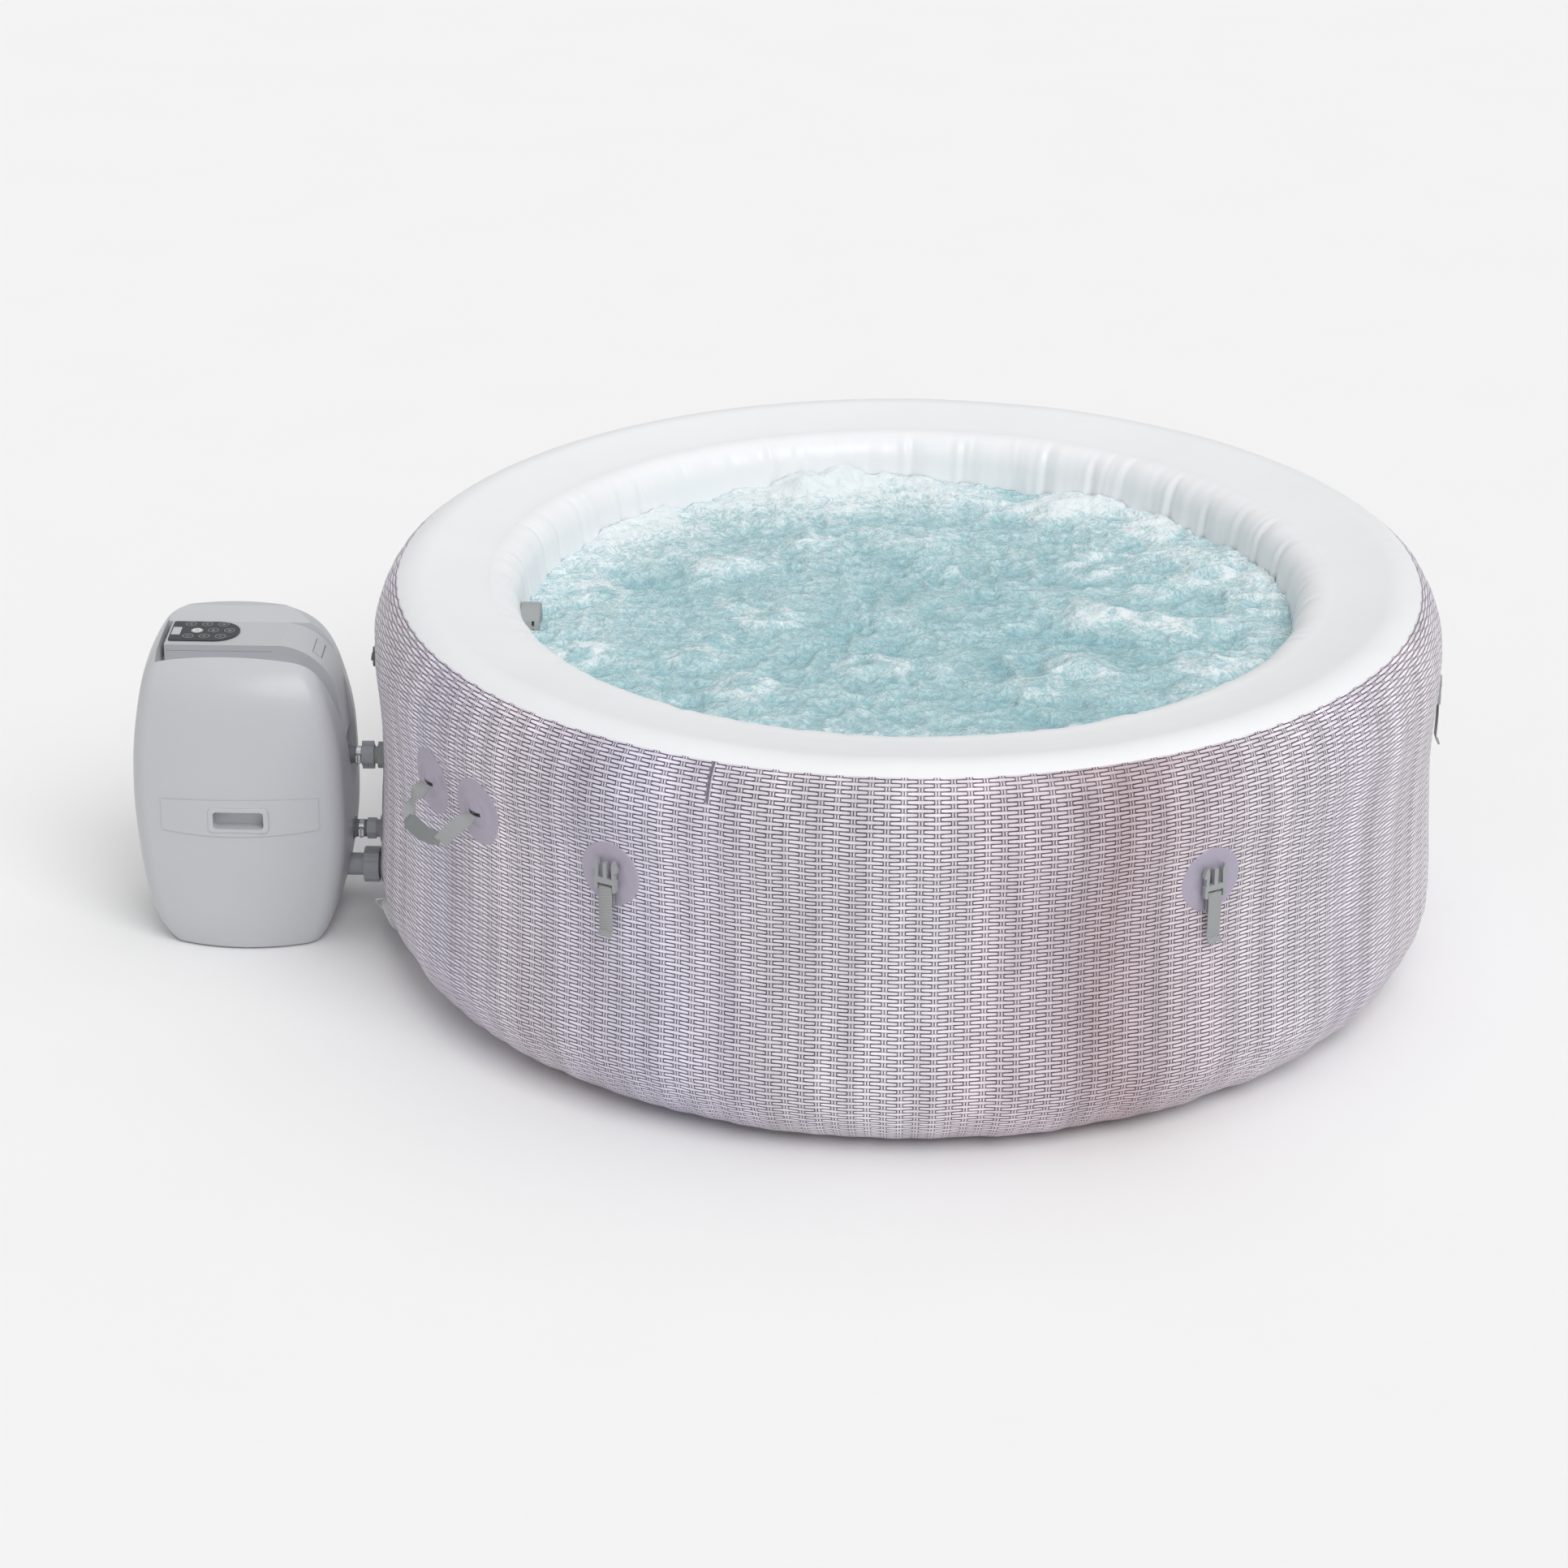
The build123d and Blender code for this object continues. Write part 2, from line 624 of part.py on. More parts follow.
def wall_disc_fitting(z, radius, reach, slots, slot_width, slot_height, bore, bore_depth):
    """Round cap on the inner wall with rows of slots in its face and rim."""
    start = -(INNER_RADIUS + 8)
    end = -(INNER_RADIUS - reach)
    with BuildPart() as fitting:
        add(pipe(start, end, z, radius, 0))
        fillet(fitting.faces().sort_by(Axis.X)[-1].edges(), 2.5)
        add(TUB_FORM, mode=Mode.SUBTRACT)
        if bore:
            add(pipe(start, start + bore_depth, z, bore, 0), mode=Mode.SUBTRACT)
        with BuildSketch(x_plane(end, COUPLING_Y, z)):
            with GridLocations(0, slot_height * 2, 1, slots):
                SlotOverall(slot_width, slot_height)
        extrude(amount=-6, mode=Mode.SUBTRACT)
    return fitting.part


def make_return_screen():
    """Domed debris screen over the warm water return."""
    return wall_disc_fitting(RETURN_Z, 24, 16, 5, 28, 3.2, STUB_RADIUS["return"], 18)


def make_vent_fitting():
    """Slotted round fitting at the waterline, with three slots through its rim."""
    vent_z = 553
    with BuildPart() as vent:
        add(wall_disc_fitting(vent_z, 37, 24, 3, 44, 5, 0, 0))
        for level in (-13, 0, 13):
            with BuildSketch(Plane(origin=(-(INNER_RADIUS - 13), COUPLING_Y - 38, vent_z + level), z_dir=(0, 1, 0))):
                Rectangle(9, 4.5)
            extrude(amount=14, mode=Mode.SUBTRACT)
    return vent.part


# ---------------------------------------------------------------- pump housings
# Height, leftmost X, rightmost X, front Y and rear Y of the pump's plan sections.
PUMP_SECTIONS = (
    (FOOT_HEIGHT, -1262, -1000, -166, 126), (42, -1286, -979, -172, 131), (95, -1302, -963, -175, 134),
    (160, -1311, -952, -176, 135), (PUMP_SEAM, -1317, -948, -177, 135), (325, -1316, -950, -176, 135),
    (400, -1309, -961, -170, 136), (460, -1299, -980, -155, 137), (500, -1286, -1006, -126, 134),
    (517, -1272, -1030, -98, 129), (PUMP_TOP, -1250, -1058, -62, 119),
)


def pump_section(height, left, right, front, rear):
    """Pillow-shaped plan section: four shallow arcs with rounded corners."""
    half_width = (right - left) / 2
    half_depth = (rear - front) / 2
    side_x = half_width * 0.96
    front_y = half_depth * 0.8
    with BuildSketch(Plane.XY.offset(height)) as section:
        with BuildLine():
            ThreePointArc((-side_x, -front_y), (0, -half_depth), (side_x, -front_y))
            ThreePointArc((side_x, -front_y), (half_width, 0), (side_x, front_y))
            ThreePointArc((side_x, front_y), (0, half_depth), (-side_x, front_y))
            ThreePointArc((-side_x, front_y), (-half_width, 0), (-side_x, -front_y))
        make_face()
        fillet(section.vertices(), half_depth * 0.24)
    return section.sketch.moved(Location(((left + right) / 2, (front + rear) / 2, 0)))


def pump_form(inset, depth_inset):
    """Pump body as one smooth solid, shrunk by an inset in height and width and another in depth."""
    with BuildPart() as form:
        for height, left, right, front, rear in PUMP_SECTIONS:
            level = height
            if height == FOOT_HEIGHT:
                level = height + max(inset, 0)
            if height == PUMP_TOP:
                level = height - inset
            elif height > PUMP_SEAM:
                level = height - inset * (height - PUMP_SEAM) / (PUMP_TOP - PUMP_SEAM)
            add(pump_section(level, left + inset, right - inset, front + depth_inset, rear - depth_inset))
        loft()
    return form.part


def channel_cut(grow):
    """Groove over the pump's top and down its tub side, as a solid to take away."""
    left = -1269 - grow
    floor = CHANNEL_FLOOR - grow
    with BuildPart() as cut:
        with BuildSketch(Plane.XZ):
            with BuildLine():
                start = Line((left, 620), (left, floor))
                Polyline(start @ 1, (-1038, floor), (-995 - grow, 432), (-946 - grow, 248), (-860, 248), (-860, 620),
                         start @ 0)
            make_face()
        extrude(amount=250, both=True)
        with BuildSketch(Plane.YZ):
            with BuildLine():
                Polyline((-122 - grow, 620), (-40 - grow, 236), (30 + grow, 236), (BAND_REAR_Y + grow, BAND_TOP - grow),
                         (105 + grow, 532 - grow), (112 + grow, 620), close=True)
            make_face()
        extrude(amount=1400, both=True, mode=Mode.INTERSECT)
    return cut.part


HANDLE_X = -1128
HANDLE_Z = 249
BEZEL_WIDTH = 103
BEZEL_HEIGHT = 46
POCKET_WIDTH = 86
POCKET_HEIGHT = 31
BEZEL_DEPTH = 26
FRONT_FACE_Y = -177
REAR_FACE_Y = 135
BELT_RAISE = 2
PORT_HOLE = {"air": 21, "return": 21, "suction": 21}
PIPE_START = {"air": -1058, "return": -982, "suction": -985}


def handle_hole(face_y, inward):
    """Hole in the shells for a carry-handle pocket."""
    with BuildPart() as hole:
        with BuildSketch(Plane(origin=(HANDLE_X, face_y - inward * 8, HANDLE_Z), x_dir=(1, 0, 0), z_dir=(0, inward, 0))):
            RectangleRounded(BEZEL_WIDTH, BEZEL_HEIGHT, 9)
        extrude(amount=BEZEL_DEPTH + 8)
    return hole.part


def make_handle_pocket(face_y, inward):
    """Finger pocket with a raised rim, let into the middle seam."""
    mouth = Plane(origin=(HANDLE_X, face_y - inward * 2.5, HANDLE_Z), x_dir=(1, 0, 0), z_dir=(0, inward, 0))
    with BuildPart() as pocket:
        with BuildSketch(mouth):
            RectangleRounded(BEZEL_WIDTH, BEZEL_HEIGHT, 9)
        extrude(amount=BEZEL_DEPTH + 2.5)
        fillet(pocket.faces().sort_by(Axis.Y)[0 if inward > 0 else -1].edges(), 2)
        with BuildSketch(mouth):
            RectangleRounded(POCKET_WIDTH, POCKET_HEIGHT, 6)
        extrude(amount=BEZEL_DEPTH - 1, mode=Mode.SUBTRACT)
    return pocket.part


OUTER_FORM = pump_form(0, 0)
INNER_FORM = pump_form(SHELL_WALL, SHELL_WALL)
RAISED_FORM = pump_form(0, -BELT_RAISE)
HALF_SPACE = 400
UPPER_HALF = Pos(PUMP_X, 0, PUMP_SEAM + HALF_SPACE / 2) * Box(600, 600, HALF_SPACE)
LOWER_HALF = Pos(PUMP_X, 0, PUMP_SEAM - HALF_SPACE / 2) * Box(600, 600, HALF_SPACE)
SCREW_X = 88
SCREW_Y = 62
SCREW_HEAD = 4.5
SCREW_SHANK = 2
BOSS_TOP = 32
GLAND_X = -1205
GLAND_Z = 62
GLAND_NECK = 9
CABLE_BORE = 4.5


def belt_outline():
    """Lens-shaped raised belt round the carry-handle pocket."""
    with BuildPart() as belt:
        with BuildSketch(Plane.XZ):
            with BuildLine():
                left = PUMP_X - 136
                right = PUMP_X + 132
                ThreePointArc((left, 281), (PUMP_X, 286), (right, 283))
                Line((right, 283), (right, 226))
                ThreePointArc((right, 226), (PUMP_X, 219), (left, 224))
                Line((left, 224), (left, 281))
            make_face()
        extrude(amount=300, both=True)
    return belt.part


def housing_shell(half, floor_channel):
    """One half of the pump's case, hollow, with the belt and the handle holes."""
    with BuildPart() as shell:
        add(RAISED_FORM)
        add(belt_outline(), mode=Mode.INTERSECT)
        add(OUTER_FORM)
        add(half, mode=Mode.INTERSECT)
        if floor_channel:
            add(channel_cut(0), mode=Mode.SUBTRACT)
        with BuildPart(mode=Mode.PRIVATE) as hollow:
            add(INNER_FORM)
            if floor_channel:
                add(channel_cut(SHELL_WALL), mode=Mode.SUBTRACT)
        add(hollow.part, mode=Mode.SUBTRACT)
        add(handle_hole(FRONT_FACE_Y, 1), mode=Mode.SUBTRACT)
        add(handle_hole(REAR_FACE_Y, -1), mode=Mode.SUBTRACT)
    return shell.part


def make_upper_housing():
    with BuildPart() as upper_housing:
        add(housing_shell(UPPER_HALF, True))
        add(pipe(-1000, -900, AIR_Z, PORT_HOLE["air"], 0), mode=Mode.SUBTRACT)
    return upper_housing.part


def make_lower_housing():
    vent_count = 7
    with BuildPart() as lower_housing:
        add(housing_shell(LOWER_HALF, False))
        for name in ("return", "suction"):
            add(pipe(-1000, -900, STUB_Z[name], PORT_HOLE[name], 0), mode=Mode.SUBTRACT)
        with BuildSketch(Plane.XY.offset(FOOT_HEIGHT + SHELL_WALL)):
            with Locations((PUMP_X, PUMP_Y)):
                with GridLocations(2 * SCREW_X, 2 * SCREW_Y, 2, 2):
                    Circle(6)
        extrude(amount=BOSS_TOP - FOOT_HEIGHT - SHELL_WALL)
        with BuildSketch(Plane.XY):
            with Locations((PUMP_X, PUMP_Y)):
                with GridLocations(2 * SCREW_X, 2 * SCREW_Y, 2, 2):
                    Circle(SCREW_SHANK)
        extrude(amount=BOSS_TOP, mode=Mode.SUBTRACT)
        with BuildSketch(Plane(origin=(GLAND_X, 60, GLAND_Z), x_dir=(-1, 0, 0), z_dir=(0, 1, 0))):
            Circle(GLAND_NECK)
        extrude(amount=100, mode=Mode.SUBTRACT)
        with BuildSketch(Plane(origin=(PUMP_X + 20, 60, 150), x_dir=(-1, 0, 0), z_dir=(0, 1, 0))):
            with GridLocations(0, 11, 1, vent_count):
                SlotOverall(110, 4)
        extrude(amount=120, mode=Mode.SUBTRACT)
    return lower_housing.part


def band_solid(inset, floor):
    """Raised band along the pump's top that bends down its tub side."""
    with BuildPart() as band:
        with BuildSketch(Plane.XZ):
            with BuildLine():
                left = BAND_LEFT_X + inset
                top = BAND_TOP - inset
                flat = Line((left, top), (-1062 + inset / 2, top))
                bend = ThreePointArc(flat @ 1, (-1005 - inset * 0.7, 488.5 - inset * 0.7), (-972 - inset, 440))
                Polyline(bend @ 1, (-948.4 - inset, 258), (-949.6 - inset, 262), (-995, 432 + floor),
                         (-1038, CHANNEL_FLOOR + floor), (left, CHANNEL_FLOOR + floor), flat @ 0)
            make_face()
        extrude(amount=250, both=True)
        with BuildSketch(Plane.YZ):
            with BuildLine():
                front = BAND_FRONT_Y + inset
                gap = CLEARANCE + inset
                Polyline((front, 620), (front, BAND_END), (front + 8, BAND_END - 8), (38 - gap, BAND_END - 8),
                         (45 - gap, BAND_END + 6), (BAND_REAR_Y - gap, BAND_TOP), (BAND_REAR_Y - gap, 620), close=True)
            make_face()
        extrude(amount=1400, both=True, mode=Mode.INTERSECT)
    return band.part


FLAP_CENTRE = (-1004.2, 489)
FLAP_TILT = 46
FLAP_WIDTH = 17
FLAP_LENGTH = 58
FLAP_THICKNESS = 2.4
FLAP_Y = 14


def flap_plane(depth):
    """Plane of the port flap: local Z out of the band, local X down the slope, local Y across."""
    tilt = math.radians(FLAP_TILT)
    out = Vector(math.sin(tilt), 0, math.cos(tilt))
    down = Vector(math.cos(tilt), 0, -math.sin(tilt))
    origin = Vector(FLAP_CENTRE[0], FLAP_Y, FLAP_CENTRE[1]) - out * depth
    return Plane(origin=origin, x_dir=down, z_dir=out)


def make_top_band():
    wall = 2.5
    hollow_front = BAND_FRONT_Y + wall
    with BuildPart() as top_band:
        add(band_solid(0, 0))
        with BuildSketch(Plane.XY.offset(CHANNEL_FLOOR - 1)):
            with Locations(((BAND_LEFT_X - 1065) / 2, (hollow_front + BAND_HOLLOW_REAR) / 2)):
                Rectangle(-1065 - BAND_LEFT_X - 2 * wall, BAND_HOLLOW_REAR - hollow_front)
        extrude(amount=BAND_TOP - wall - CHANNEL_FLOOR + 1, mode=Mode.SUBTRACT)
        with BuildSketch(flap_plane(FLAP_THICKNESS + 2)):
            with Locations((1, 0)):
                RectangleRounded(FLAP_WIDTH + 4, FLAP_LENGTH + 1.2, 2)
        extrude(amount=20, mode=Mode.SUBTRACT)
        with BuildSketch(Plane.XZ.offset(-BAND_FRONT_Y)):
            with Locations(((BAND_LEFT_X - 1075) / 2, BAND_TOP - 11)):
                Rectangle(-1080 - BAND_LEFT_X, 0.8)
        extrude(amount=-0.8, mode=Mode.SUBTRACT)
    return top_band.part


def make_port_flap():
    """Small hinged flap over the inflation port."""
    with BuildPart() as port_flap:
        with BuildSketch(flap_plane(FLAP_THICKNESS)):
            RectangleRounded(FLAP_WIDTH, FLAP_LENGTH, 1.8)
        extrude(amount=FLAP_THICKNESS)
    return port_flap.part


def button_places():
    """Centres of the nine round buttons, row by row."""
    return [(first_x + BUTTON_PITCH * column, y) for y, first_x in BUTTON_ROWS for column in range(3)]


def make_control_overlay():
    """D-shaped control plate with a hole for each button."""
    straight = (-1258, -1182)
    half = 42
    with BuildPart() as overlay:
        with BuildSketch(Plane.XY.offset(BAND_TOP)) as plate:
            with BuildLine():
                Polyline((straight[1], 18 + half), (straight[0], 18 + half), (straight[0], 18 - half),
                         (straight[1], 18 - half))
                ThreePointArc((straight[1], 18 - half), (straight[1] + half, 18), (straight[1], 18 + half))
            make_face()
            fillet(plate.vertices().group_by(Axis.X)[0], 5)
            with Locations(*button_places()):
                Circle(BUTTON_RADIUS + CLEARANCE, mode=Mode.SUBTRACT)
        extrude(amount=OVERLAY_THICKNESS)
    return overlay.part


def make_button(place):
    """Round push button with a softened edge."""
    with BuildPart() as button:
        with BuildSketch(Plane.XY.offset(BAND_TOP + BUTTON_TRAVEL + 0.2)):
            with Locations(place):
                Circle(BUTTON_RADIUS)
        extrude(amount=2.2)
        fillet(button.faces().sort_by(Axis.Z)[-1].edges(), 0.5)
    return button.part


# ---------------------------------------------------------------- inside the pump
VOLUTE_X = (-1025, -985)
VOLUTE_RADIUS = 44
HEATER_RADIUS = 21
SHAFT_RADIUS = 3
SHAFT_PLAY = 0.05
BLOWER_CENTRE = (-1130, -20)
BLOWER_RADIUS = 60
BLOWER_Z = (284, 344)


def make_circulation_pump():
    """Water pump: motor, volute casing and outlet up to the heater."""
    with BuildPart() as pump:
        add(pipe(-1112, VOLUTE_X[0], SUCTION_Z, 32, 0))
        add(pipe(VOLUTE_X[0], VOLUTE_X[1], SUCTION_Z, VOLUTE_RADIUS, 0))
        with BuildSketch(Plane.XY.offset(SUCTION_Z + 30)):
            with Locations((-1005, COUPLING_Y)):
                Circle(9)
        extrude(amount=30)
        add(pipe(-1120, -980, RETURN_Z, HEATER_RADIUS, 0), mode=Mode.SUBTRACT)
        add(pipe(VOLUTE_X[0] + 4, VOLUTE_X[1] - 4, SUCTION_Z, VOLUTE_RADIUS - 4, 0), mode=Mode.SUBTRACT)
        add(pipe(VOLUTE_X[1] - 5, VOLUTE_X[1], SUCTION_Z, PIPE_BORE["suction"], 0), mode=Mode.SUBTRACT)
        add(pipe(-1100, VOLUTE_X[0] + 5, SUCTION_Z, SHAFT_RADIUS + SHAFT_PLAY, 0), mode=Mode.SUBTRACT)
        with BuildSketch(Plane.XY.offset(FOOT_HEIGHT + SHELL_WALL)):
            with Locations((-1068, COUPLING_Y)):
                Rectangle(60, 50)
        extrude(amount=SUCTION_Z - 25 - FOOT_HEIGHT - SHELL_WALL)
        add(pipe(-1100, VOLUTE_X[0], SUCTION_Z, SHAFT_RADIUS + SHAFT_PLAY, 0), mode=Mode.SUBTRACT)
    return pump.part


def make_pump_impeller():
    with BuildPart() as impeller:
        with BuildSketch(x_plane(VOLUTE_X[0] + 7, COUPLING_Y, SUCTION_Z)):
            Circle(35)
        extrude(amount=3)
        with BuildSketch(x_plane(VOLUTE_X[0] + 10, COUPLING_Y, SUCTION_Z)):
            Circle(9)
            with PolarLocations(21, 6):
                Rectangle(26, 2.5, rotation=25)
        extrude(amount=14)
        add(pipe(-1095, VOLUTE_X[0] + 8, SUCTION_Z, SHAFT_RADIUS, 0))
    return impeller.part


def make_heater_tube():
    """Heater canister in the warm water line."""
    with BuildPart() as heater:
        add(pipe(-1190, -985, RETURN_Z, HEATER_RADIUS, HEATER_RADIUS - 2))
        add(pipe(-1193, -1190, RETURN_Z, HEATER_RADIUS + 3, 0))
        add(pipe(-985, -982, RETURN_Z, HEATER_RADIUS + 3, PIPE_BORE["return"]))
        with BuildSketch(Plane.XY.offset(SUCTION_Z + 40)):
            with Locations((-1005, COUPLING_Y)):
                Circle(6)
        extrude(amount=20, mode=Mode.SUBTRACT)
    return heater.part


def blower_disc(z_start, z_end, radius):
    return cylinder_at(Plane(origin=(*BLOWER_CENTRE, z_start)), radius, z_end - z_start)


def make_blower_housing():
    """Air blower for the bubble jets: fan case, motor above it, spigot towards the tub."""
    low, high = BLOWER_Z
    with BuildPart() as blower:
        add(blower_disc(low, high, BLOWER_RADIUS))
        add(blower_disc(high, high + 48, 34))
        add(pipe(-1085, -1058, AIR_Z, 14, 0))
        add(blower_disc(low + 3, high - 3, BLOWER_RADIUS - 3), mode=Mode.SUBTRACT)
        add(pipe(-1095, -1058, AIR_Z, PIPE_BORE["air"], 0), mode=Mode.SUBTRACT)
        add(blower_disc(low, low + 4, 22), mode=Mode.SUBTRACT)
        add(blower_disc(high - 4, high + 40, SHAFT_RADIUS + SHAFT_PLAY), mode=Mode.SUBTRACT)
    return blower.part


def make_blower_impeller():
    low, high = BLOWER_Z
    blade_count = 24
    with BuildPart() as impeller:
        add(blower_disc(high - 9, high - 6, 52))
        with BuildSketch(Plane(origin=(*BLOWER_CENTRE, low + 8))):
            with PolarLocations(46, blade_count):
                Rectangle(11, 1.5, rotation=35)
        extrude(amount=high - low - 17)
        add(blower_disc(high - 30, high - 6, 9))
        add(blower_disc(high - 8, high + 36, SHAFT_RADIUS))
    return impeller.part


def make_control_board():
    """Circuit board under the buttons, on four posts."""
    board_z = 492
    with BuildPart() as board:
        with BuildSketch(Plane.XY.offset(board_z)):
            with Locations((-1203, 14)):
                Rectangle(104, 84)
        extrude(amount=1.6)
        with BuildSketch(Plane.XY.offset(CHANNEL_FLOOR)):
            with Locations((-1203, 14)):
                with GridLocations(92, 72, 2, 2):
                    Circle(4)
        extrude(amount=board_z - CHANNEL_FLOOR)
        with BuildSketch(Plane.XY.offset(board_z + 1.6)):
            with Locations(*button_places()):
                Rectangle(6, 6)
        extrude(amount=4)
    return board.part


def make_cord_gland():
    """Strain relief of the mains cable in the rear wall."""
    start = Plane(origin=(GLAND_X, 86, GLAND_Z), x_dir=(-1, 0, 0), z_dir=(0, 1, 0))
    with BuildPart() as gland:
        add(cylinder_at(start.offset(10), 13, 48))
        add(OUTER_FORM, mode=Mode.SUBTRACT)
        add(cylinder_at(start, GLAND_NECK, 58))
        add(cylinder_at(start, CABLE_BORE, 60), mode=Mode.SUBTRACT)
    return gland.part


def make_feet():
    with BuildPart() as feet:
        with BuildSketch(Plane.XY):
            with Locations((PUMP_X, PUMP_Y)):
                with GridLocations(120, 140, 2, 2):
                    Circle(13)
        extrude(amount=FOOT_HEIGHT)
    return feet.part


def make_case_screws():
    """Self-tapping screws up through the base into the case's bosses."""
    with BuildPart() as screws:
        with BuildSketch(Plane.XY.offset(FOOT_HEIGHT - 2.4)):
            with Locations((PUMP_X, PUMP_Y)):
                with GridLocations(2 * SCREW_X, 2 * SCREW_Y, 2, 2):
                    Circle(SCREW_HEAD)
        extrude(amount=2.4)
        with BuildSketch(Plane.XY.offset(FOOT_HEIGHT)):
            with Locations((PUMP_X, PUMP_Y)):
                with GridLocations(2 * SCREW_X, 2 * SCREW_Y, 2, 2):
                    Circle(SCREW_SHANK)
        extrude(amount=BOSS_TOP - FOOT_HEIGHT - 6)
    return screws.part


# ---------------------------------------------------------------- groups and output
def make_wall_patches():
    """All round patches on the outer wall: slotted ones for handles, plain ones for buckles."""
    handle_places = [(azimuth + side * HANDLE_HALF_ANGLE, HANDLE_HEIGHT)
                     for azimuth in HANDLE_AZIMUTHS for side in (-1, 1)]
    buckle_places = [(azimuth, BUCKLE_PATCH_HEIGHT) for azimuth in BUCKLE_AZIMUTHS]
    slotted = make_patches(handle_places, HANDLE_PATCH_RADIUS, 30, 5)
    plain = make_patches(buckle_places, BUCKLE_PATCH_RADIUS, 0, 0)
    return Compound(children=[*slotted, *plain])


def make_pieces():
    """Every piece by name."""
    pieces = {
        "outer_wall": make_outer_wall(),
        "top_ring": make_top_ring(),
        "inner_wall": make_inner_wall(),
        "base_sheet": make_base_sheet(),
        "wall_webs": make_wall_webs(),
        "bubble_channel": make_bubble_channel(),
        "air_hose": make_air_hose(),
        "wall_patches": make_wall_patches(),
        "buckle_straps": Compound(children=[make_buckle_strap(azimuth) for azimuth in BUCKLE_AZIMUTHS]),
        "air_valve_body": make_air_valve_body(),
        "air_valve_cap": make_air_valve_cap(),
        "drain_valve_body": make_drain_valve_body(),
        "drain_cap": make_drain_cap(),
        "drain_tether": make_drain_tether(),
        "wall_stubs": Compound(children=[make_stub(name) for name in STUB_Z]),
        "gaskets": make_gaskets(),
        "filter_housing": make_filter_housing(),
        "filter_cap": make_filter_cap(),
        "filter_cartridge": make_filter_cartridge(),
        "wall_fittings": Compound(children=[make_vent_fitting(), make_return_screen()]),
        "lower_housing": make_lower_housing(),
        "upper_housing": make_upper_housing(),
        "top_band": make_top_band(),
        "control_overlay": make_control_overlay(),
        "port_flap": make_port_flap(),
        "handle_pockets": Compound(
            children=[make_handle_pocket(FRONT_FACE_Y, 1), make_handle_pocket(REAR_FACE_Y, -1)]
        ),
        "pump_pipes": Compound(children=[make_pump_pipe(name, PIPE_START[name]) for name in STUB_Z]),
        "rubber_boots": Compound(children=[make_boot("air"), make_boot("return")]),
        "hose_clamps": make_hose_clamps(),
        "circulation_pump": make_circulation_pump(),
        "pump_impeller": make_pump_impeller(),
        "heater_tube": make_heater_tube(),
        "blower_housing": make_blower_housing(),
        "blower_impeller": make_blower_impeller(),
        "control_board": make_control_board(),
        "cord_gland": make_cord_gland(),
        "feet": make_feet(),
        "case_screws": make_case_screws(),
    }
    for number, azimuth in enumerate(HANDLE_AZIMUTHS, start=1):
        pieces[f"carry_strap_{number}"] = make_carry_strap(azimuth)
        pieces[f"carry_grip_{number}"] = make_carry_grip(azimuth)
    for number, azimuth in enumerate(BUCKLE_AZIMUTHS, start=1):
        pieces[f"buckle_{number}"] = make_buckle(azimuth)
    for name in STUB_Z:
        pieces[f"{name}_nut"] = make_union_nut(name)
    for number, place in enumerate(button_places(), start=1):
        pieces[f"button_{number}"] = make_button(place)
    return pieces


def main():
    os.makedirs("parts", exist_ok=True)
    for name, piece in make_pieces().items():
        piece.label = name
        export_step(piece, f"parts/{name}.step")


if __name__ == "__main__":
    main()
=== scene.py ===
import json
import math

import bpy
import numpy as np
from mathutils import Euler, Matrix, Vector


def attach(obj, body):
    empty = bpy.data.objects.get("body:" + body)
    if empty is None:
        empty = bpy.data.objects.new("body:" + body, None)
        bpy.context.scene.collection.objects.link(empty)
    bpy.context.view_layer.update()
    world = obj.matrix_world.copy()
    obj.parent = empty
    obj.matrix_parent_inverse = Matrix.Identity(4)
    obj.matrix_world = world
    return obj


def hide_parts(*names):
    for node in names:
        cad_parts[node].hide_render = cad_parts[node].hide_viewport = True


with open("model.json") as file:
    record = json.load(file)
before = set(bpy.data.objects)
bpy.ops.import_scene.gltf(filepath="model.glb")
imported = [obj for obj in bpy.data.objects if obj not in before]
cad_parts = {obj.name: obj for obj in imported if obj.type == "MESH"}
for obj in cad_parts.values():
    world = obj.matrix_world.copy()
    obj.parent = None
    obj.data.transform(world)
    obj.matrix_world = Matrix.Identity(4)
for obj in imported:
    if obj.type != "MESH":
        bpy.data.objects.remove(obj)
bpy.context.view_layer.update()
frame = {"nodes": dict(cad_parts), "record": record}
RNG = np.random.default_rng(7)
TAU = 2 * math.pi
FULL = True

# ---------------------------------------------------------------- camera
cam_data = bpy.data.cameras.new("view_camera")
cam_data.sensor_width = 36
cam_data.lens = 100.642
cam_data.clip_end = 60
camera = bpy.data.objects.new("view_camera", cam_data)
camera.location = (0, -6.88961, 3.36877)
camera.rotation_euler = Euler([math.radians(a) for a in (65.67107, -0.14636, 1.79405)])
bpy.context.scene.collection.objects.link(camera)
bpy.context.scene.camera = camera
bpy.context.scene.view_settings.view_transform = "Standard"


# ---------------------------------------------------------------- small helpers
def link(obj, body, replaces=()):
    """Puts a new piece in the scene and says which CAD body it rides on."""
    bpy.context.scene.collection.objects.link(obj)
    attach(obj, body)
    if replaces:
        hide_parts(*replaces)
    return obj


def smooth(lo, hi, x):
    t = np.clip((x - lo) / (hi - lo), 0, 1)
    return t * t * (3 - 2 * t)


def lattice(ix, iy, iz, seed):
    """Fixed pseudo-random number from -1 to 1 for each whole-number grid point."""
    h = (ix * 374761393 + iy * 668265263 + iz * 2147483629 + seed * 974634777) & 0xFFFFFFFF
    h = ((h ^ (h >> 13)) * 1274126177) & 0xFFFFFFFF
    h = ((h ^ (h >> 16)) * 2246822519) & 0xFFFFFFFF
    return ((h ^ (h >> 15)) & 0xFFFFFF) / 0x7FFFFF - 1


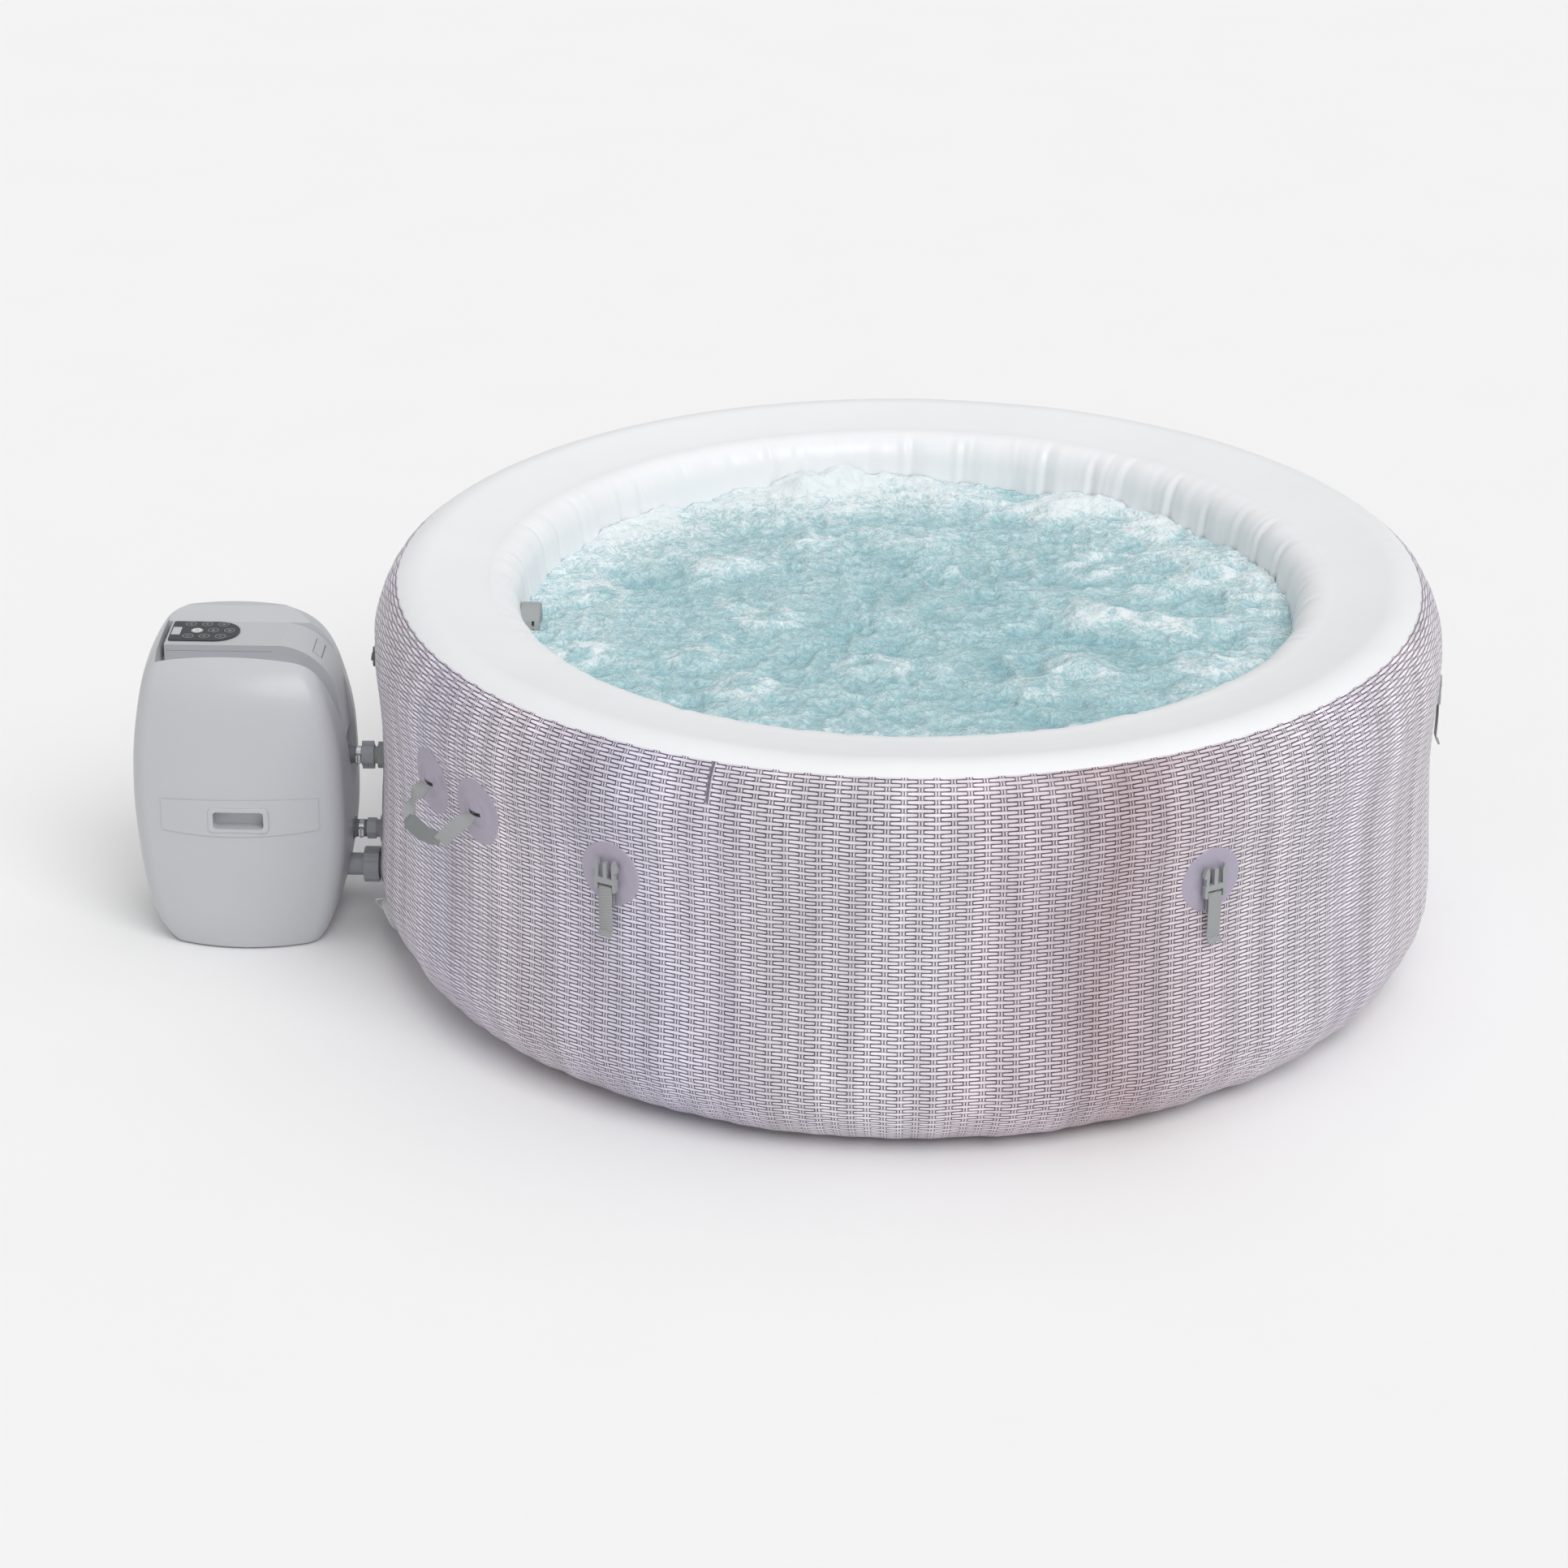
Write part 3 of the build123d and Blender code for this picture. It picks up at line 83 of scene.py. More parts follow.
def noise3(x, y, z, seed=0):
    """Smooth value noise, about -1 to 1."""
    x, y, z = np.broadcast_arrays(np.asarray(x, float), np.asarray(y, float), np.asarray(z, float))
    ix, iy, iz = (np.floor(v).astype(np.int64) for v in (x, y, z))
    f = [v - i for v, i in ((x, ix), (y, iy), (z, iz))]
    fx, fy, fz = (t * t * t * (t * (t * 6 - 15) + 10) for t in f)
    out = 0
    for dx in (0, 1):
        for dy in (0, 1):
            for dz in (0, 1):
                weight = (fx if dx else 1 - fx) * (fy if dy else 1 - fy) * (fz if dz else 1 - fz)
                out = out + weight * lattice(ix + dx, iy + dy, iz + dz, seed)
    return out


def grid_mesh(name, pts, wrap_rows=False, wrap_cols=False, uv=None, capped=()):
    """Mesh from rows x columns of points, with an optional UV for each grid corner, or caps on its end rows."""
    rows, cols = pts.shape[:2]
    i, j = np.meshgrid(
        np.arange(rows if wrap_rows else rows - 1), np.arange(cols if wrap_cols else cols - 1), indexing="ij"
    )
    i, j = i.ravel(), j.ravel()
    i2, j2 = (i + 1) % rows, (j + 1) % cols
    faces = np.stack([i * cols + j, i * cols + j2, i2 * cols + j2, i2 * cols + j], axis=1).tolist()
    if "start" in capped:
        faces.append(list(reversed(range(cols))))
    if "end" in capped:
        faces.append(list(range((rows - 1) * cols, rows * cols)))
    mesh = bpy.data.meshes.new(name)
    mesh.from_pydata(pts.reshape(-1, 3).tolist(), [], faces)
    if uv is not None:
        layer = mesh.uv_layers.new(name="print")
        corners = np.stack([uv[i, j], uv[i, j + 1], uv[i + 1, j + 1], uv[i + 1, j]], axis=1)
        layer.data.foreach_set("uv", corners.reshape(-1).astype(np.float32))
    mesh.polygons.foreach_set("use_smooth", [True] * len(mesh.polygons))
    mesh.update()
    return bpy.data.objects.new(name, mesh)


def ring_spot(azimuth, radius, height):
    """Point at an azimuth (radians, from -Y towards +X)."""
    return np.stack(
        np.broadcast_arrays(radius * np.sin(azimuth), -radius * np.cos(azimuth), height), axis=-1
    )


def wall_axes(azimuth_deg):
    a = math.radians(azimuth_deg)
    return Vector((math.cos(a), math.sin(a), 0)), Vector((0, 0, 1)), Vector((math.sin(a), -math.cos(a), 0))


def ribbon(name, path, sides, ups, width, thick):
    """Flat strap along a path: sides point across it, ups out of its face, with rounded edges."""
    profile = [(-0.5, -0.5), (-0.47, -0.5), (0, -0.5), (0.47, -0.5), (0.5, -0.5), (0.5, 0.5), (0.47, 0.5),
               (0, 0.5), (-0.47, 0.5), (-0.5, 0.5)]
    edge = {0: 0.55, 4: 0.55, 5: 0.55, 9: 0.55}
    pts = np.zeros((len(path), len(profile), 3))
    widths = width if hasattr(width, "__len__") else [width] * len(path)
    for k, (p, side, up) in enumerate(zip(path, sides, ups)):
        for c, (a, b) in enumerate(profile):
            pts[k, c] = Vector(p) + side * (a * widths[k]) + up * (b * thick * edge.get(c, 1))
    obj = grid_mesh(name, pts, wrap_cols=True, capped=("start", "end"))
    mesh = obj.data
    steps = [(Vector(b) - Vector(a)).length for a, b in zip(path, path[1:])]
    lengths = np.concatenate([[0], np.cumsum(steps)])
    uv = mesh.uv_layers.new(name="print")
    for face in mesh.polygons:
        for corner in face.loop_indices:
            row, column = divmod(mesh.loops[corner].vertex_index, len(profile))
            uv.data[corner].uv = (profile[column][0] * widths[row], lengths[row])
        face.use_smooth = len(face.vertices) == 4
    mesh.update()
    return obj


# ---------------------------------------------------------------- the drain cap's tether
DRAIN_AZIMUTH = math.radians(-80)
DRAIN_DIP = math.radians(26)
DRAIN_OUT = Vector((math.sin(DRAIN_AZIMUTH) * math.cos(DRAIN_DIP),
                    -math.cos(DRAIN_AZIMUTH) * math.cos(DRAIN_DIP), -math.sin(DRAIN_DIP)))
DRAIN_AROUND = Vector((math.cos(DRAIN_AZIMUTH), math.sin(DRAIN_AZIMUTH), 0))
DRAIN_UP = DRAIN_OUT.cross(DRAIN_AROUND)
DRAIN_CENTRE = Vector((0.877 * math.sin(DRAIN_AZIMUTH), -0.877 * math.cos(DRAIN_AZIMUTH), 0.071))
TETHER_ROUTE = ((-20, 24, 6), (-20, 24, 14), (-27, 27, 25), (-38, 20, 32),
                (-44, 5, 31), (-41, -9, 25), (-28, -14, 14.5), (-28, -14, 6))
tether_points = [
    DRAIN_CENTRE + (DRAIN_AROUND * a + DRAIN_UP * u + DRAIN_OUT * o) / 1000 for a, u, o in TETHER_ROUTE
]
tether_curve = bpy.data.curves.new("tether_line", "CURVE")
tether_curve.dimensions = "3D"
tether_curve.bevel_depth = 0.001
tether_curve.bevel_resolution = 4
tether_curve.resolution_u = 16
tether_spline = tether_curve.splines.new("NURBS")
tether_spline.points.add(len(tether_points) - 1)
for spot, where in zip(tether_spline.points, tether_points):
    spot.co = (*where, 1)
tether_spline.order_u = 3
tether_spline.use_endpoint_u = True
tether = link(bpy.data.objects.new("tether_line", tether_curve), "tub", ["drain_tether"])


# ---------------------------------------------------------------- materials
class Graph:
    """Node graph of one material, with short calls for its maths."""

    def __init__(self, name, base, rough, specular=0.5):
        self.mat = bpy.data.materials.new(name)
        self.mat.use_nodes = True
        self.nodes = self.mat.node_tree.nodes
        self.links = self.mat.node_tree.links
        self.shader = self.nodes["Principled BSDF"]
        self.shader.inputs["Base Color"].default_value = (*base, 1)
        self.shader.inputs["Roughness"].default_value = rough
        self.shader.inputs["Specular IOR Level"].default_value = specular

    def put(self, socket, value):
        if isinstance(value, bpy.types.NodeSocket):
            self.links.new(value, socket)
        elif hasattr(value, "__len__"):
            needs_alpha = len(value) == 3 and len(socket.default_value) == 4
            socket.default_value = (*value, 1) if needs_alpha else value
        else:
            socket.default_value = value

    def math(self, op, *args):
        node = self.nodes.new("ShaderNodeMath")
        node.operation = op
        for k, a in enumerate(args):
            self.put(node.inputs[k], a)
        return node.outputs[0]

    def step(self, lo, hi, x):
        node = self.nodes.new("ShaderNodeMapRange")
        node.interpolation_type = "SMOOTHSTEP"
        for k, v in zip(("Value", "From Min", "From Max"), (x, lo, hi)):
            self.put(node.inputs[k], v)
        return node.outputs["Result"]

    def span(self, x, lo, hi, a, b):
        node = self.nodes.new("ShaderNodeMapRange")
        for k, v in zip(("Value", "From Min", "From Max", "To Min", "To Max"), (x, lo, hi, a, b)):
            self.put(node.inputs[k], v)
        return node.outputs["Result"]

    def mix(self, factor, a, b, blend="MIX"):
        node = self.nodes.new("ShaderNodeMix")
        node.data_type = "RGBA"
        node.blend_type = blend
        self.put(node.inputs[0], factor)
        self.put(node.inputs[6], a)
        self.put(node.inputs[7], b)
        return node.outputs[2]

    def where(self, kind="Object"):
        return self.nodes.new("ShaderNodeTexCoord").outputs[kind]

    def stretch(self, vector, scale):
        node = self.nodes.new("ShaderNodeMapping")
        self.put(node.inputs["Vector"], vector)
        node.inputs["Scale"].default_value = scale
        return node.outputs[0]

    def noise(self, scale, detail=3, rough=0.5, vector=None, distort=0):
        node = self.nodes.new("ShaderNodeTexNoise")
        node.inputs["Scale"].default_value = scale
        node.inputs["Detail"].default_value = detail
        node.inputs["Roughness"].default_value = rough
        node.inputs["Distortion"].default_value = distort
        self.put(node.inputs["Vector"], vector if vector is not None else self.where())
        return node.outputs["Fac"]

    def voronoi(self, scale, vector=None, feature="F1"):
        node = self.nodes.new("ShaderNodeTexVoronoi")
        node.feature = feature
        node.inputs["Scale"].default_value = scale
        self.put(node.inputs["Vector"], vector if vector is not None else self.where())
        return node.outputs["Distance"]

    def split(self, vector):
        node = self.nodes.new("ShaderNodeSeparateXYZ")
        self.put(node.inputs[0], vector)
        return node.outputs

    def join(self, x, y, z):
        node = self.nodes.new("ShaderNodeCombineXYZ")
        for k, v in enumerate((x, y, z)):
            self.put(node.inputs[k], v)
        return node.outputs[0]

    def white(self, vector):
        node = self.nodes.new("ShaderNodeTexWhiteNoise")
        self.put(node.inputs["Vector"], vector)
        return node.outputs["Value"]

    def ramp(self, factor, stops, kind="LINEAR"):
        node = self.nodes.new("ShaderNodeValToRGB")
        node.color_ramp.interpolation = kind
        line = node.color_ramp.elements
        while len(line) < len(stops):
            line.new(0.5)
        for spot, (where, colour) in zip(line, stops):
            spot.position = where
            spot.color = (*colour, 1)
        self.put(node.inputs[0], factor)
        return node.outputs[0]

    def bump(self, height, strength, distance, below=None):
        node = self.nodes.new("ShaderNodeBump")
        node.inputs["Strength"].default_value = strength
        node.inputs["Distance"].default_value = distance
        self.put(node.inputs["Height"], height)
        if below is not None:
            self.put(node.inputs["Normal"], below)
        return node.outputs[0]

    def colour(self, value):
        self.put(self.shader.inputs["Base Color"], value)

    def rough(self, value):
        self.put(self.shader.inputs["Roughness"], value)

    def normal(self, value):
        self.put(self.shader.inputs["Normal"], value)


def rgb(r, g, b):
    """Linear colour from screen values of 0 to 255."""
    return tuple(((v / 255 + 0.055) / 1.055) ** 2.4 if v > 10 else v / 255 / 12.92 for v in (r, g, b))


def plastic(name, base, rough, grain=900, depth=0.00008, vary=0.06, scuff=0.08, specular=0.5):
    """Moulded plastic: fine grain, slow colour drift and slightly uneven gloss."""
    g = Graph(name, base, rough, specular)
    drift = g.noise(7, 3)
    darker = tuple(c * (1 - vary) for c in base)
    lighter = tuple(min(1, c * (1 + vary)) for c in base)
    g.colour(g.mix(drift, darker, lighter))
    g.rough(g.span(g.noise(45, 4, 0.6), 0.3, 0.7, rough - scuff / 2, rough + scuff / 2))
    fine = g.bump(g.noise(grain, 2, 0.6), 0.25, depth)
    g.normal(g.bump(g.noise(28, 2), 0.12, 0.0006, fine))
    return g.mat


PERIODS_AROUND = 110
ROW_PITCH = 0.0064
WELD_PERIOD = 48.98
WELD_HEIGHT = (0.592, 0.602)


def woven_print():
    """Printed cane weave: long slats that go over and under pairs of upright stakes."""
    g = Graph("printed_weave", (0.6, 0.56, 0.62), 0.42, 0.45)
    u, v, _ = g.split(g.where("UV"))
    row = g.math("FLOOR", v)
    up = g.math("FRACT", v)
    odd = g.math("MULTIPLY", g.math("MODULO", row, 2.0), 0.5)
    along = g.math("ADD", u, odd)
    slat = g.math("FLOOR", along)
    a = g.math("FRACT", along)
    edge = g.math("MULTIPLY", g.math("ABSOLUTE", g.math("SUBTRACT", up, 0.5)), 2.0)
    # the dark line between rows: strong along a slat, weaker where it meets a pair of stakes
    wrap = g.math("MINIMUM", a, g.math("SUBTRACT", 1.0, a))
    taper = g.math("MULTIPLY", g.math("SUBTRACT", 1.0, g.step(0.08, 0.26, wrap)), 0.15)
    lo = g.math("SUBTRACT", 0.58, taper)
    line = g.step(lo, g.math("ADD", lo, 0.20), edge)
    own_stakes = g.math("MULTIPLY", g.step(0.070, 0.092, wrap), 0.60)
    next_stakes = g.math("MULTIPLY", g.step(0.40, 0.44, wrap), 0.30)
    line = g.math("MULTIPLY", line, g.math("SUBTRACT", g.math("ADD", own_stakes, 0.40), next_stakes))
    # the tick between the two stakes, and the dark bend round each slat's end
    tick = g.math("SUBTRACT", 1.0, g.step(0.012, 0.028, wrap))
    bend_at = g.math("ADD", 0.085, g.math("MULTIPLY", g.math("POWER", edge, 2.0), 0.030))
    off_bend = g.math("ABSOLUTE", g.math("SUBTRACT", wrap, bend_at))
    bend = g.math("SUBTRACT", 1.0, g.step(0.010, 0.030, off_bend))
    dark = g.math("MAXIMUM", g.math("MAXIMUM", line, tick), bend)
    dark = g.math("MULTIPLY", dark, g.span(g.noise(60, 3), 0.3, 0.7, 0.85, 1.0))
    # each slat is a little different, brighter at its round end and greyer where it dives
    own = g.white(g.join(slat, row, 0.0))
    light = g.span(own, 0, 1, 0.93, 1.04)
    light = g.math("MULTIPLY", light, g.span(a, 0.12, 0.98, 1.06, 0.94))
    stake = g.math("SUBTRACT", 1.0, g.step(0.055, 0.085, wrap))
    light = g.math("MULTIPLY", light, g.span(stake, 0, 1, 1.0, 1.05))
    grain = g.noise(1.0, 2, 0.6, g.join(g.math("MULTIPLY", u, 9.0), g.math("MULTIPLY", v, 3.5), row))
    light = g.math("MULTIPLY", light, g.span(grain, 0.3, 0.7, 0.965, 1.03))
    # broad dye patches, stretched upright, and upright streaks of painted shade for the wall's panel undulations
    # and creases
    spot = g.where("Object")
    turn = g.math("ADD", u, g.math("MULTIPLY", g.math("SUBTRACT", g.noise(2.2, 2, 0.5, spot), 0.5), 5.0))
    place = g.math("FRACT", g.math("DIVIDE", g.math("ADD", turn, PERIODS_AROUND / 4), PERIODS_AROUND / 2))
    dye = g.ramp(place, [
        (0.00, (0.94, 0.92, 0.98)), (0.10, (0.97, 0.94, 0.96)), (0.18, (0.91, 0.91, 0.98)),
        (0.27, (0.96, 0.92, 0.94)), (0.35, (0.88, 0.89, 0.98)), (0.42, (0.97, 0.95, 0.97)),
        (0.50, (0.99, 0.98, 0.99)), (0.565, (0.96, 0.90, 0.91)), (0.62, (0.66, 0.56, 0.56)),
        (0.71, (0.99, 0.96, 0.96)), (0.80, (0.95, 0.93, 0.97)), (0.90, (0.99, 0.96, 0.97)),
        (1.00, (0.94, 0.92, 0.98))])
    upright_shade_noise = g.noise(1, 3, 0.55, g.stretch(spot, (13, 13, 1.1)))
    painted_panel_shade = g.span(upright_shade_noise, 0.32, 0.68, 0.80, 1.06)
    # painted shade: light and dark upright bands at the spacing of the wall's upright creases
    around = g.math("SINE", g.math("ADD", g.math("MULTIPLY", u, TAU / 1.27), g.math("MULTIPLY", upright_shade_noise, 9.0)))
    painted_panel_shade = g.math("MULTIPLY", painted_panel_shade, g.span(around, -1, 1, 0.94, 1.04))
    cloud = g.span(g.noise(3.4, 3, 0.5, spot), 0.3, 0.7, 0.93, 1.05)
    tone = g.math("MULTIPLY", light, painted_panel_shade)
    slat_colour = g.mix(1.0, g.mix(1.0, rgb(253, 247, 255), dye, "MULTIPLY"), g.join(tone, tone, tone), "MULTIPLY")
    slat_colour = g.mix(1.0, slat_colour, g.join(cloud, cloud, cloud), "MULTIPLY")
    dark_colour = g.mix(1.0, rgb(58, 48, 62), dye, "MULTIPLY")
    # the upright weld where the printed sheet's ends meet, near the rim
    high = g.step(*WELD_HEIGHT, g.split(spot)[2])
    off_weld = g.math("ABSOLUTE", g.math("SUBTRACT", u, WELD_PERIOD))
    weld = g.math("SUBTRACT", 1.0, g.step(0.03, 0.08, off_weld))
    dark = g.math("MAXIMUM", dark, g.math("MULTIPLY", g.math("MULTIPLY", high, weld), 0.8))
    g.colour(g.mix(dark, slat_colour, dark_colour))
    g.rough(g.span(g.noise(120, 2), 0.3, 0.7, 0.38, 0.5))
    fine = g.bump(g.math("SUBTRACT", 1.0, dark), 0.25, 0.0004)
    g.normal(g.bump(g.noise(14, 3), 0.25, 0.002, fine))
    return g.mat


def vinyl(name, base, rough):
    """Laminated PVC: satin, faint mesh of the scrim under the skin and soft handling waves."""
    g = Graph(name, base, rough, 0.5)
    drift = g.noise(3.5, 3)
    g.colour(g.mix(drift, tuple(c * 0.965 for c in base), tuple(min(1, c * 1.02) for c in base)))
    g.rough(g.span(g.noise(30, 3), 0.3, 0.7, rough - 0.05, rough + 0.06))
    fine = g.bump(g.noise(700, 2, 0.6), 0.12, 0.0001)
    g.normal(g.bump(g.noise(9, 3, 0.45), 0.35, 0.0022, fine))
    return g.mat


def webbing_cloth(name, base):
    """Ribbed polypropylene webbing: ribs across the strap, fine yarns along it, with painted shade in the grooves
    between them.
    """
    g = Graph(name, base, 0.62, 0.3)
    x, y, _ = g.split(g.where("UV"))
    ribs = g.math("SINE", g.math("MULTIPLY", g.math("ADD", y, g.math("MULTIPLY", x, 0.25)), TAU / 0.003))
    yarn = g.math("SINE", g.math("MULTIPLY", x, TAU / 0.0012))
    high = g.math("ADD", g.math("MULTIPLY", ribs, 0.5), g.math("MULTIPLY", yarn, 0.18))
    # painted shade: the colour is darker in the grooves between ribs and yarns
    painted_rib_shade = g.span(high, -0.6, 0.6, 0.64, 1.14)
    fleck = g.span(g.noise(900, 2), 0.3, 0.7, 0.92, 1.06)
    tone = g.math("MULTIPLY", painted_rib_shade, fleck)
    g.colour(g.mix(1.0, base, g.join(tone, tone, tone), "MULTIPLY"))
    g.rough(g.span(g.noise(400, 2), 0.3, 0.7, 0.55, 0.7))
    g.normal(g.bump(high, 0.6, 0.0005))
    return g.mat


def brushed_steel(name):
    g = Graph(name, (0.62, 0.63, 0.64), 0.28)
    g.shader.inputs["Metallic"].default_value = 1.0
    lines = g.noise(1, 3, 0.6, g.stretch(g.where(), (60, 900, 900)))
    g.colour(g.mix(lines, (0.50, 0.51, 0.52), (0.72, 0.73, 0.74)))
    g.rough(g.span(lines, 0.3, 0.7, 0.2, 0.36))
    g.normal(g.bump(lines, 0.2, 0.0002))
    return g.mat


def foam_water():
    """Bubbling water: teal where it is clear, white where the surface holds foam."""
    g = Graph("bubbling_water", (0.35, 0.6, 0.63), 0.12, 0.5)
    g.shader.inputs["IOR"].default_value = 1.33
    attribute = g.nodes.new("ShaderNodeAttribute")
    attribute.attribute_name = "foam"
    foam = attribute.outputs["Fac"]
    spot = g.where("Object")
    flat = g.stretch(spot, (1, 1, 0.6))
    lace = g.noise(26, 6, 0.68, flat, 1.6)
    mottle = g.noise(90, 4, 0.6, flat, 0.8)
    cells = g.voronoi(230, flat)
    froth = g.math("ADD", foam, g.math("MULTIPLY", g.math("SUBTRACT", lace, 0.5), 0.55))
    froth = g.math("ADD", froth, g.math("MULTIPLY", g.math("SUBTRACT", mottle, 0.5), 0.40))
    froth = g.math("ADD", froth, g.math("MULTIPLY", g.math("SUBTRACT", 0.4, cells), 0.16))
    veins = g.noise(30, 6, 0.64, flat, 2.4)
    off_vein = g.math("ABSOLUTE", g.math("SUBTRACT", veins, 0.5))
    thread = g.math("SUBTRACT", 1.0, g.math("MULTIPLY", off_vein, 5.0))
    froth = g.math("ADD", froth, g.math("MULTIPLY", g.step(0.55, 1.0, thread), 0.26))
    tint = g.ramp(froth, [
        (0.00, rgb(126, 174, 184)), (0.30, rgb(148, 190, 198)), (0.55, rgb(168, 204, 210)),
        (0.80, rgb(200, 224, 228)), (1.00, rgb(238, 246, 249))])
    g.colour(tint)
    g.rough(g.span(froth, 0.2, 1.0, 0.05, 0.4))
    ripples = g.noise(75, 4, 0.6, flat, 0.6)
    fine = g.bump(g.voronoi(330, flat), 0.4, 0.0012)
    g.normal(g.bump(ripples, 0.8, 0.006, fine))
    return g.mat


def overlay_film():
    g = Graph("panel_film", (0.022, 0.024, 0.028), 0.12, 0.6)
    g.colour(g.mix(g.noise(30, 3), (0.016, 0.018, 0.022), (0.032, 0.034, 0.040)))
    g.rough(g.span(g.noise(80, 3), 0.3, 0.7, 0.08, 0.2))
    g.normal(g.bump(g.noise(500, 2), 0.08, 0.0001))
    return g.mat


M = {
    "printed_pvc": woven_print(),
    "white_pvc": vinyl("white_vinyl", rgb(246, 247, 249), 0.36),
    "patch_pvc": vinyl("lilac_patch", rgb(176, 168, 186), 0.3),
    "webbing": webbing_cloth("grey_webbing", rgb(172, 174, 175)),
    "cord": plastic("tether_cord", rgb(238, 238, 236), 0.6, 1500, 0.0001),
    "mid_plastic": plastic("mid_grey_plastic", rgb(160, 163, 164), 0.42),
    "dark_plastic": plastic("dark_grey_plastic", rgb(104, 107, 112), 0.45),
    "white_plastic": plastic("off_white_plastic", rgb(214, 215, 216), 0.4),
    "grey_rubber": plastic("grey_rubber", rgb(124, 127, 131), 0.55, 500, 0.00015),
    "case_plastic": plastic("case_plastic", rgb(196, 198, 202), 0.33, 650, 0.00006, 0.025, 0.06),
    "panel_film": overlay_film(),
    "button": plastic("key_plastic", rgb(62, 64, 68), 0.3),
    "steel": brushed_steel("worm_clamp_steel"),
    "filter_paper": plastic("filter_paper", rgb(236, 238, 236), 0.85, 400, 0.0004),
    "board": plastic("circuit_board", rgb(30, 92, 58), 0.5),
}
M["coupling"] = plastic("coupling_grey", rgb(178, 181, 187), 0.4)
M["key_white"] = plastic("silver_key", rgb(226, 228, 230), 0.28)
M["key_line"] = plastic("key_print", rgb(176, 180, 184), 0.5)
M["lcd"] = plastic("display_glass", rgb(196, 202, 206), 0.15)
M["key_dark"] = plastic("key_dark_print", rgb(70, 72, 76), 0.5)
# painted shadow for the opening of the handle patches' slots
M["dark_hole"] = plastic("slot_shadow", rgb(40, 38, 44), 0.7)

for part in frame["record"]["subparts"]:
    node = frame["nodes"].get(part["node"])
    if node is None:
        continue
    node.data.materials.clear()
    node.data.materials.append(M[part["material_slot"]])
frame["nodes"]["button_4"].data.materials[0] = M["key_white"]
for coupling in ("air_nut", "return_nut", "suction_nut", "pump_pipes"):
    frame["nodes"][coupling].data.materials[0] = M["coupling"]


# ---------------------------------------------------------------- the wall's outline
FOOT = (0.760, 0.0)
CURVE = ((0.872, 0.056), (0.902, 0.158), (0.893, 0.322), (0.899, 0.510), (0.881, 0.626), (0.806, 0.665),
         (0.706, 0.650), (0.660, 0.606), (0.645, 0.450), (0.648, 0.003))
SKIN = 0.0025
WEBS = 24
WEB_ANGLE = math.radians(15)
WALL_FACE = 0.9002


def outline():
    """Points and outward normals along the wall's tangent arcs, from the foot over the crest to the floor."""
    here, way = np.array(FOOT), np.array((1.0, 0.0))
    points, normals = [here], [np.array((way[1], -way[0]))]
    for corner in CURVE:
        end = np.array(corner)
        side = np.array((-way[1], way[0]))
        chord = end - here
        reach = chord @ chord / (2 * (side @ chord))
        centre = here + side * reach
        start_angle = math.atan2(*(here - centre)[::-1])
        swing = math.atan2(*(end - centre)[::-1]) - start_angle
        if reach > 0:
            swing %= TAU
        else:
            swing = -((-swing) % TAU)
        steps = max(3, int(abs(swing) * abs(reach) / 0.002))
        for k in range(1, steps + 1):
            angle = start_angle + swing * k / steps
            ray = np.array((math.cos(angle), math.sin(angle)))
            points.append(centre + ray * abs(reach))
            normals.append(ray if reach > 0 else -ray)
        here = end
        turn = np.array(((math.cos(swing), -math.sin(swing)), (math.sin(swing), math.cos(swing))))
        way = turn @ way
    return np.array(points), np.array(normals)


LINE, NORMAL = outline()
RUN = np.concatenate([[0], np.cumsum(np.linalg.norm(np.diff(LINE, axis=0), axis=1))])
OUTER_SEAM = RUN[np.argmin(np.hypot(LINE[:, 0] - 0.858, LINE[:, 1] - 0.653))]
INNER_SEAM = RUN[np.argmin(np.hypot(LINE[:, 0] - 0.706, LINE[:, 1] - 0.650))]


def on_line(s):
    return [np.interp(s, RUN, c) for c in (LINE[:, 0], LINE[:, 1], NORMAL[:, 0], NORMAL[:, 1])]


def run_at_height(z):
    """Where the outer face of the wall is at a height."""
    outer = RUN < OUTER_SEAM
    return np.interp(z, LINE[outer, 1], RUN[outer])


BUCKLE_AZIMUTHS = (-30.5, 32.1, 91.0, 151.0, -151.0, -103.0)
BUCKLE_PATCH = (0.445, 0.054)
HANDLE_AZIMUTHS = (-53.7, 126.3)
HANDLE_HALF_ANGLE = 4.6
HANDLE_PATCH = (0.462, 0.056)
STUB_AZIMUTH = -90 + 1.27
# places where the wall lies smooth: azimuth in degrees, height and radius
CALM = [(a, *BUCKLE_PATCH) for a in BUCKLE_AZIMUTHS]
CALM += [(a + s * HANDLE_HALF_ANGLE, *HANDLE_PATCH) for a in HANDLE_AZIMUTHS for s in (-1, 1)]
CALM += [(-87, 0.500, 0.026), (-80, 0.071, 0.036), (STUB_AZIMUTH, 0.305, 0.02), (STUB_AZIMUTH, 0.166, 0.025),
         (STUB_AZIMUTH, 0.097, 0.03)]
WEB_DEPTH = RNG.uniform(0.5, 1.25, 48)[:WEBS]

# each crease: azimuth, depth, lean, how far below the seam it starts, and length
FOLDS = [(math.radians(7.5 * k + RNG.uniform(-1.9, 1.9)), RNG.uniform(0.25, 1.2), RNG.uniform(-0.035, 0.035),
          RNG.uniform(-0.02, 0.03), RNG.uniform(0.12, 0.4)) for k in range(48)]
WRINKLES = [(RNG.uniform(0, TAU), RNG.uniform(0.3, 1.0), RNG.uniform(-0.12, 0.12), RNG.uniform(-0.03, 0.22),
             RNG.uniform(0.05, 0.22)) for _ in range(170)]


# the skins may not sink further than this, or the webs behind them would show
OUTER_LEAST = -0.0019
INNER_LEAST = -0.0021


